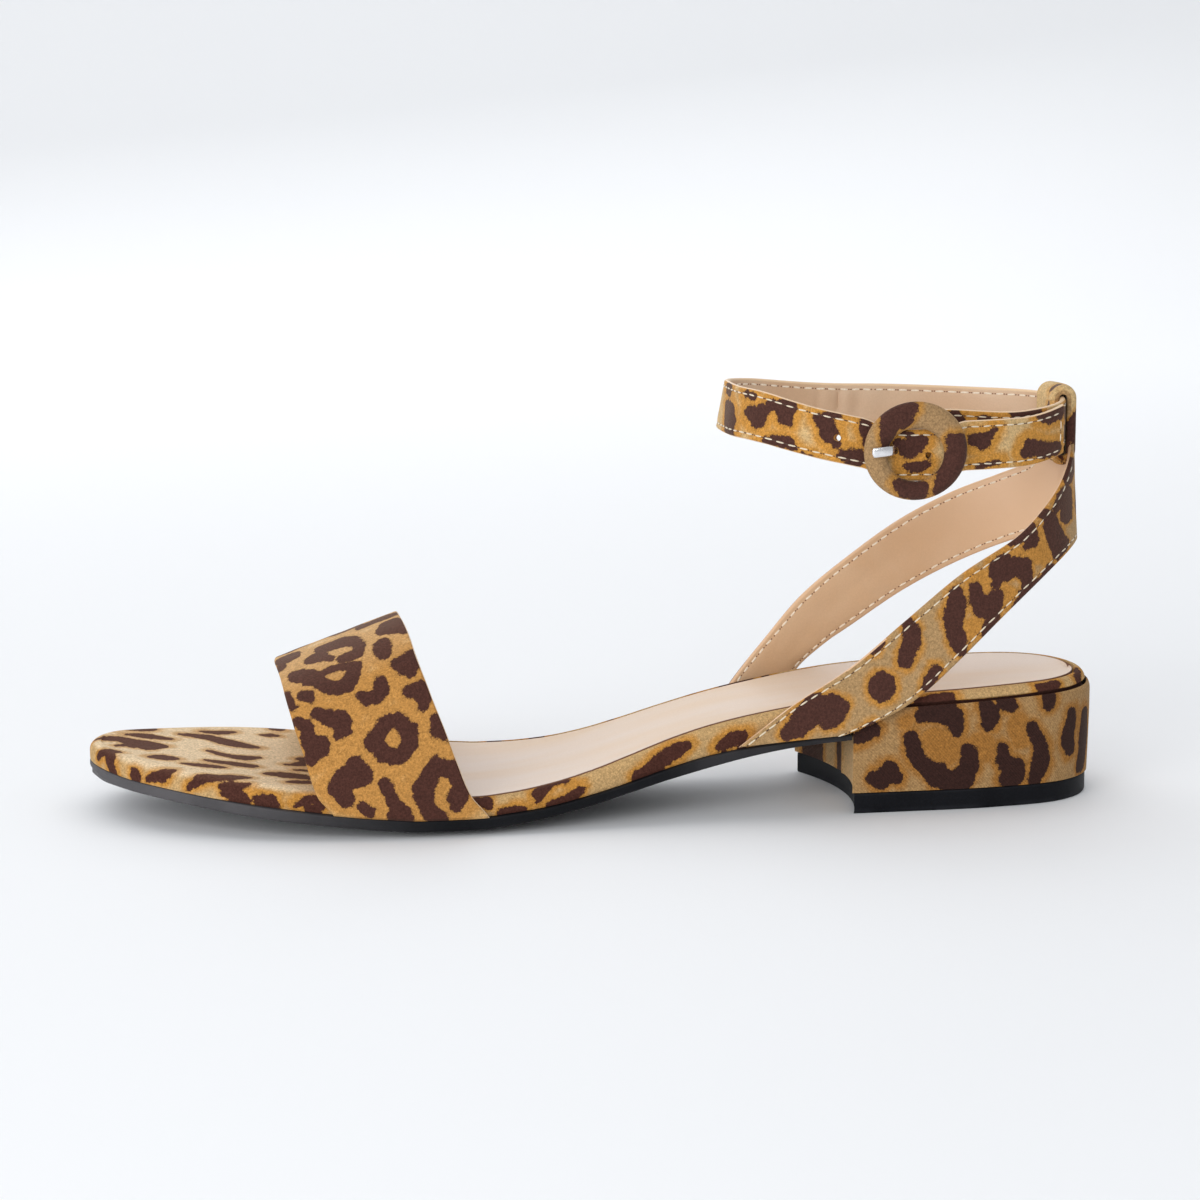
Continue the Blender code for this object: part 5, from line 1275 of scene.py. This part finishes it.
# ---------------------------------------------------------------------- heel
count = 260
ring_run = run_of(heel_ring(HEEL_PROUD, 0.0, count))
loops, UU, VV = [], [], []
total = ring_run[-1]
for off, z_of in heel_levels():
    p = heel_ring(off, 0.0, count)
    b = heel_breast(min(off, HEEL_PROUD), 0.0)
    zb = np.minimum(z_of(b[:, 0], b[:, 1]), bed_under(b[:, 0], b[:, 1]) - GAP - 0.4)
    loops.append(np.vstack([np.column_stack([p, z_of(p[:, 0], p[:, 1])]), np.column_stack([b, zb])]))
    br = total + np.linspace(0, 1, len(b)) * 52.0
    UU.append(np.concatenate([ring_run, br]))
    VV.append(loops[-1][:, 2])
n_wall = len(ring_run)
for depth in (0.0, 1.0):
    p = heel_ring(0.32, 0.0, count)
    rim = heel_rim(p[:, 0], p[:, 1]) - 0.1
    seat = bed_under(p[:, 0], p[:, 1]) - GAP
    b = loops[-1][n_wall:]
    loops.append(np.vstack([np.column_stack([p, rim * (1 - depth) + seat * depth]), b]))
    UU.append(UU[-1])
    VV.append(loops[-1][:, 2])
# the cover's joint on the heel front stands a little proud, with a slit beside it
for k, loop in enumerate(loops[:40]):
    at = np.arange(len(loop) - n_wall)
    loop[n_wall:, 0] += 0.35 * np.exp(-((at - 25.0) / 1.1) ** 2) - 0.3 * np.exp(-((at - 22.5) / 0.7) ** 2)
UU, VV = np.array(UU), np.array(VV)
chain = SPOTS["heel"] + scattered(72, 168, 5, 28, 33, pitch=9.5) + HEEL_FRONT_SPOTS
spot = spot_distance(UU, VV, chain, 11, grow=0.2)
glow = spot_distance(UU, VV, SPOTS["heel_gold"], 13)
# the two innermost loops down into the heel seat are painted dark brown: painted shade in the groove under the footbed
# rim
spot[-2:] = -1.0
# the heel front's faces take the lighter, painted-light copy of the heel cloth
front = ([0] * (n_wall - 1) + [1] * (len(loops[0]) - n_wall + 1)) * (len(loops) - 1) + [0, 0]
heel = loops_body("heel_block_wrap", loops, [MAT["heel"], MAT["heel_front"]], face_mats=front, spot=spot, glow=glow, edge=np.full(spot.size, 5.0))
placed(heel, "heel_block")

lift = []
rim_tone = []
for off, z in ((0.0, 0.0), (0.22, 0.06), (0.4, 0.22), (0.5, 0.5), (0.5, 1.5), (0.5, 3.0), (0.5, 4.4), (0.45, 4.8), (0.3, 5.0)):
    p = np.vstack([heel_ring(off, 0.6), heel_breast(off, 0.6)])
    lift.append(np.column_stack([p, np.full(len(p), z)]))
    rim_tone += [0.1 if z < 0.6 or z > 4.7 else 0.5] * len(p)
piece = loops_body("heel_top_lift", lift, [MAT["lift"]], edge=np.array(rim_tone))
placed(piece, "heel_top_lift")

# ---------------------------------------------------------------------- vamp
grid, U, V = vamp_surface()
N = facing(grid, (150, 30, np.array((0, 0, 1.0))))
PU, PV = vamp_place(grid, U)
spot = spot_distance(PU, PV, SPOTS["vamp"] + scattered(66, 128, 0, 44, 51), 17)
# the raw rear edge shows pale, the front edge is turned in
lip = np.where(grid[..., 0] < grid[..., 0].mean(axis=1, keepdims=True), 0.3, 0.0)[:-1, :-1].reshape(-1)
# painted highlight along the vamp's upward-facing crest
vamp, _, _ = band("vamp_strap", grid, U, V, N, spot, [MAT["vamp"], MAT["lining"]], pale=lip, light=0.9 * ramp(N[..., 2], 0.76, 0.99))
placed(vamp, "vamp_strap")

# --------------------------------------------------------------------- sling
grid, U, V = sling_surface()
N = facing(grid, (40, 20, np.array((0, -1.0, 0))))
PU, PV = sling_place(grid)
spot = spot_distance(PU, PV, SPOTS["sling"] + BACK_SPOTS + scattered(102, 196, 16, 92, 61, pitch=9.5), 23)
# the lining is drawn into long shallow folds where the strap twists
fold = 0.34 * np.exp(-((V / V[:, -1:] - 0.45 - 0.12 * np.sin(U / 21.0)) / 0.14) ** 2) * ramp(U, 150, 165) * ramp(U, 222, 200)
# the raw edge shows pale only on the outer front end
lip = np.where((grid[..., 0] > 60.0) & (grid[..., 1] < 0.0), 0.3, 0.0)[:-1, :-1].reshape(-1)
# painted light on the sling lining: paler over the first 108 mm of its length, from the outer end round the back, and
# back to its own colour by 182 mm on the inner arm
sling, face, back = band("back_sling", grid, U, V, N, spot, [MAT["strap"], MAT["sling_lining"]], stitch=1.65, ripple=-fold * 0.5, pale=lip, pad=0.45, light=ramp(U, 182, 108), glow=spot_distance(PU, PV, SPOTS["sling_gold"], 27))
placed(sling, "back_sling")
mid = len(U) // 2
lo_out = path_across(face, V, 1.65, False)
hi_out = path_across(face, V, 1.65, True)
n_lo, n_hi = path_across(N, V, 1.65, False), path_across(N, V, 1.65, True)
gap = int(0.055 * len(U))
runs = [(lo_out, n_lo), (hi_out[:mid - gap], n_hi[:mid - gap]), (hi_out[mid + gap:], n_hi[mid + gap:])]
stitched("sling_stitches", runs, MAT["thread"], "sling_fabric", MAT["hole"], seed=3)
lo_in = path_across(back, V, 1.65, False)
hi_in = path_across(back, V, 1.65, True)
runs = [(lo_in, -n_lo), (hi_in[:mid - gap], -n_hi[:mid - gap]), (hi_in[mid + gap:], -n_hi[mid + gap:])]
stitched("sling_stitches_inside", runs, MAT["thread_in"], "sling_fabric", MAT["hole_in"], seed=4, length=2.0, radius=0.23)

# the rolled loop at the top of the back
def track(t, h, count=22):
    straight = h - t
    a = np.linspace(0, np.pi, count)
    pts = np.vstack([np.column_stack([t * np.cos(a), straight + t * np.sin(a)]),
                     np.column_stack([t * np.cos(a + np.pi), -straight + t * np.sin(a + np.pi)])])
    path = np.vstack([pts, pts[:1]])
    return at_run(path, np.linspace(0, run_of(path)[-1], 121)[:-1])


sections = []
half = LOOP_W / 2
for y in np.concatenate([[-half, -half + 0.03, -half + 0.12, -half + 0.3, -half + 0.6], np.linspace(-half + 0.9, half - 0.9, 20), [half - 0.6, half - 0.3, half - 0.12, half - 0.03, half]]):
    e = min(1.0, (half - abs(y)) / 0.6)
    h = LOOP_WALL / 2 * math.sqrt(max(0.0, 1 - (1 - e) ** 2))
    sections.append((y, h))
verts, UU, VV = [], [], []
per = 120
for y, h in sections:
    lean = y * y / (2 * LOOP_BEND)
    swell = 0.45 * math.cos(math.pi * y / LOOP_W)
    for sign in (1, -1):
        tr = track(LOOP_T - LOOP_WALL / 2 + sign * h + (swell if sign > 0 else 0), LOOP_H - LOOP_WALL / 2 + sign * h)
        verts.append(np.column_stack([LOOP_S + lean + tr[:, 0], np.full(per, y), LOOP_Z + tr[:, 1]]))
        UU.append(np.linspace(0, 52, per)); VV.append(np.full(per, y + half))
verts = np.vstack(verts)
faces, fm = [], []
k = np.arange(per)
for i in range(len(sections) - 1):
    for q, m in ((0, 0), (1, 1)):
        a = (2 * i + q) * per + k
        b = (2 * (i + 1) + q) * per + k
        faces += np.stack([a, np.roll(a, -1), np.roll(b, -1), b], axis=1).tolist()
        fm += [m] * per
UU, VV = np.array(UU), np.array(VV)
spot = spot_distance(UU, VV, LOOP_SPOTS, 29)
loop = mesh_piece("strap_loop", verts, faces, [MAT["loop"], MAT["strap"]], fm, spot=spot, glow=np.full(spot.size, 5.0), edge=np.full(spot.size, 5.0))
placed(loop, None)

# --------------------------------------------------------------- ankle strap
grid, U, V = ankle_surface()
ref = np.array((grid[60, 5, 0] - ANKLE_C, grid[60, 5, 1], 0.0))
N = facing(grid, (60, 5, ref))
length = U[-1, 0]
spot = spot_distance(U, V, SPOTS["ankle"] + scattered(118, length, 0, ANKLE_W, 71, pitch=9.0), 31)
# the strap creases where it turns at the far side
ripple = np.zeros_like(U)
for at, deep, wide in RIPPLES:
    ripple += deep * np.exp(-((U - at - 0.12 * (V - 6)) / wide) ** 2) * ramp(V, 0.4, 3.0) * ramp(V, ANKLE_W - 0.4, ANKLE_W - 3.0)
# the last 17 mm of the lining side is printed cloth: the folded end's face, partly as painted shade seen through the
# buckle ring's window
ankle, face, back = band("ankle_strap", grid, U, V, N, spot, [MAT["ankle"], MAT["lining"]], stitch=1.5, ripple=ripple, pale=0.3, pad=0.2, turned=length - 17.0)
lo_out, hi_out = path_across(face, V, 1.5, False), path_across(face, V, 1.5, True)
n_lo, n_hi = path_across(N, V, 1.5, False), path_across(N, V, 1.5, True)
first = int(np.searchsorted(U[:, 0], 2.0))
last = int(np.searchsorted(U[:, 0], length - 14.0))
tip_v = np.linspace(1.9, ANKLE_W - 1.9, 20)
tip = np.array([[np.interp(v, V[first], face[first, :, q]) for q in range(3)] for v in tip_v])
n_tip = np.array([[np.interp(v, V[first], N[first, :, q]) for q in range(3)] for v in tip_v])
runs = [(lo_out[first:last], n_lo[first:last]), (hi_out[first:last], n_hi[first:last]), (tip, n_tip)]
stitched("ankle_stitches", runs, MAT["thread"], "ankle_fabric", MAT["hole"], seed=5)
lo_in, hi_in = path_across(back, V, 1.5, False), path_across(back, V, 1.5, True)
runs = [(lo_in[first:last], -n_lo[first:last]), (hi_in[first:last], -n_hi[first:last])]
stitched("ankle_stitches_inside", runs, MAT["thread_in"], "ankle_fabric", MAT["hole_in"], seed=6, length=2.2, radius=0.22)

# punched holes along the middle of the strap
punch_v, punch_f = [], []
mids = path_across(grid, V, ANKLE_W / 2, False)
n_mid = path_across(N, V, ANKLE_W / 2, False)
for at, rise, rad, slant in HOLES:
    p = at_run(mids, np.array([at]))[0] + (0, 0, rise)
    n = np.array([np.interp(at, run_of(mids), n_mid[:, q]) for q in range(3)])
    on = at_run(mids, np.array([at + 0.5]))[0] - at_run(mids, np.array([at - 0.5]))[0]
    n = n / np.linalg.norm(n) + slant * on / np.linalg.norm(on)
    v, f = tube([p - n * 1.25, p - n * 0.6, p + n * 0.6, p + n * 1.25], [(rad * math.cos(t), rad * math.sin(t)) for t in np.linspace(0, 2 * np.pi, 20, endpoint=False)])
    base = len(punch_v)
    punch_v += v
    punch_f += [tuple(base + i for i in q) for q in f]
cutter = mesh_piece("punch", punch_v, punch_f, [MAT["ankle"]], merge=False, spot=np.full(len(punch_v), -1.0), edge=np.full(len(punch_v), 5.0))
mod = ankle.modifiers.new("holes", "BOOLEAN")
mod.operation, mod.solver, mod.object = "DIFFERENCE", "EXACT", cutter
mod.use_self = True
bpy.context.view_layer.update()
cut = bpy.data.meshes.new_from_object(ankle.evaluated_get(bpy.context.evaluated_depsgraph_get()))
ankle.modifiers.clear()
ankle.data = cut
bpy.data.objects.remove(cutter, do_unlink=True)
placed(ankle, "ankle_strap")

# -------------------------------------------------------------------- buckle
grid, U, V = ring_surface()
spot = spot_distance(U, V, SPOTS["ring"], 37, grow=0.45)
R, C = grid.shape[:2]
index = np.arange(R * C).reshape(R, C)
index = np.vstack([index, index[:1]])
index = np.hstack([index, index[:, :1]])
ring = mesh_piece("buckle_ring_cover", grid.reshape(-1, 3), grid_faces(index), [MAT["ring"]], merge=False, spot=spot, edge=np.full(R * C, 5.0))
placed(ring, "buckle_ring")
reach, corner = RING_R - 0.6, 1.2
bar_path = through([(BUCKLE_S, RING_Y + 0.6, BUCKLE_Z + reach), (BUCKLE_S, RING_Y + 2.4, BUCKLE_Z + reach - 0.5),
                    (BUCKLE_S, BAR_Y - corner, BUCKLE_Z + reach - 1.4), (BUCKLE_S, BAR_Y, BUCKLE_Z + reach - 2.6),
                    (BUCKLE_S, BAR_Y, BUCKLE_Z), (BUCKLE_S, BAR_Y, BUCKLE_Z - reach + 2.6),
                    (BUCKLE_S, BAR_Y - corner, BUCKLE_Z - reach + 1.4), (BUCKLE_S, RING_Y + 2.4, BUCKLE_Z - reach + 0.5),
                    (BUCKLE_S, RING_Y + 0.6, BUCKLE_Z - reach)], 8)
v, f = tube(bar_path, [(BAR_R * math.cos(t), BAR_R * math.sin(t)) for t in np.linspace(0, 2 * np.pi, 18, endpoint=False)])
placed(mesh_piece("buckle_bar", v, f, [MAT["bar"]], merge=False), None)

over = RING_Y - RING_T - GAP - 0.5
p_s, p_z = BUCKLE_S + 0.9, BUCKLE_Z + 0.85
prong_path = through([(p_s + 3.3, TIP_FACE + 3.3, p_z - 0.2), (p_s + 4.4, TIP_FACE + 0.8, p_z - 0.2),
                      (p_s + 5.8, over + 1.0, p_z - 0.2), (p_s + 7.4, over, p_z - 0.3),
                      (p_s + 9.2, over, p_z - 0.5), (p_s + 11.0, over + 0.25, p_z - 0.7)], 10)
sec = []
for t in np.linspace(0, 2 * np.pi, 28, endpoint=False):
    c, s_ = math.cos(t), math.sin(t)
    sec.append((0.5 * math.copysign(abs(c) ** 0.6, c), 1.2 * math.copysign(abs(s_) ** 0.6, s_)))
k = np.linspace(0, 1, len(prong_path))
taper = np.sqrt(np.clip(1 - (np.clip(k - 0.94, 0, 1) / 0.0605) ** 2, 0.0, 1))
v, f = tube(prong_path, sec, np.maximum(taper, 0.06))
placed(mesh_piece("buckle_prong", v, f, [MAT["metal"]], merge=False), "buckle_prong")

# --------------------------------------------------------------------- stage
def floor_mat():
    mat, tree, bsdf = nodes_of("floor_white")
    bsdf.inputs["Base Color"].default_value = (0.87, 0.88, 0.895, 1.0)
    bsdf.inputs["Roughness"].default_value = 0.75
    bsdf.inputs["Specular IOR Level"].default_value = 0.25
    return mat


rows = [(-4.0, 0.0), (1.1, 0.0)] + [(1.1 + 0.9 * math.sin(q), 0.9 - 0.9 * math.cos(q)) for q in np.radians(np.arange(6, 91, 6))] + [(2.0, 3.5)]
w = 5.0
mesh = bpy.data.meshes.new("floor")
mesh.from_pydata([(x, y, z) for y, z in rows for x in (-w, w)], [], [(2 * k, 2 * k + 1, 2 * k + 3, 2 * k + 2) for k in range(len(rows) - 1)])
mesh.materials.append(floor_mat())
mesh.shade_smooth()
floor = bpy.data.objects.new("floor", mesh)
bpy.context.scene.collection.objects.link(floor)


def lamp(name, size, power, where, aim, colour=(1, 1, 1)):
    data = bpy.data.lights.new(name, "AREA")
    data.shape = "RECTANGLE"
    data.size, data.size_y = size
    data.energy = power
    data.color = colour
    ob = bpy.data.objects.new(name, data)
    bpy.context.scene.collection.objects.link(ob)
    ob.location = where
    ob.rotation_mode = "QUATERNION"
    ob.rotation_quaternion = (Vector(aim) - Vector(where)).to_track_quat("-Z", "Y")
    return ob


for spec in LAMPS:
    lamp(*spec)

world = bpy.data.worlds.new("studio")
bpy.context.scene.world = world
world.use_nodes = True
bg = next(n for n in world.node_tree.nodes if n.type == "BACKGROUND")
bg.inputs["Color"].default_value = WORLD[0]
bg.inputs["Strength"].default_value = WORLD[1]

a, e = math.radians(-10.0), math.radians(9.5)
back = Vector((math.sin(a) * math.cos(e), -math.cos(a) * math.cos(e), math.sin(e)))
target = Vector((SHIFT_S - 124.8, 5.4 + SHIFT_Y, 49.72)) * 0.001
data = bpy.data.cameras.new("camera")
data.lens, data.sensor_width = 102.0, 36.0
data.clip_start, data.clip_end = 0.05, 30.0
cam = bpy.data.objects.new("camera", data)
bpy.context.scene.collection.objects.link(cam)
cam.location = target + back * 0.85
cam.rotation_mode = "QUATERNION"
cam.rotation_quaternion = (-back).to_track_quat("-Z", "Y")
bpy.context.scene.camera = cam
view = bpy.context.scene.view_settings
view.view_transform = "Standard"
view.look = "None"
view.exposure = EXPOSURE

bpy.context.view_layer.update()
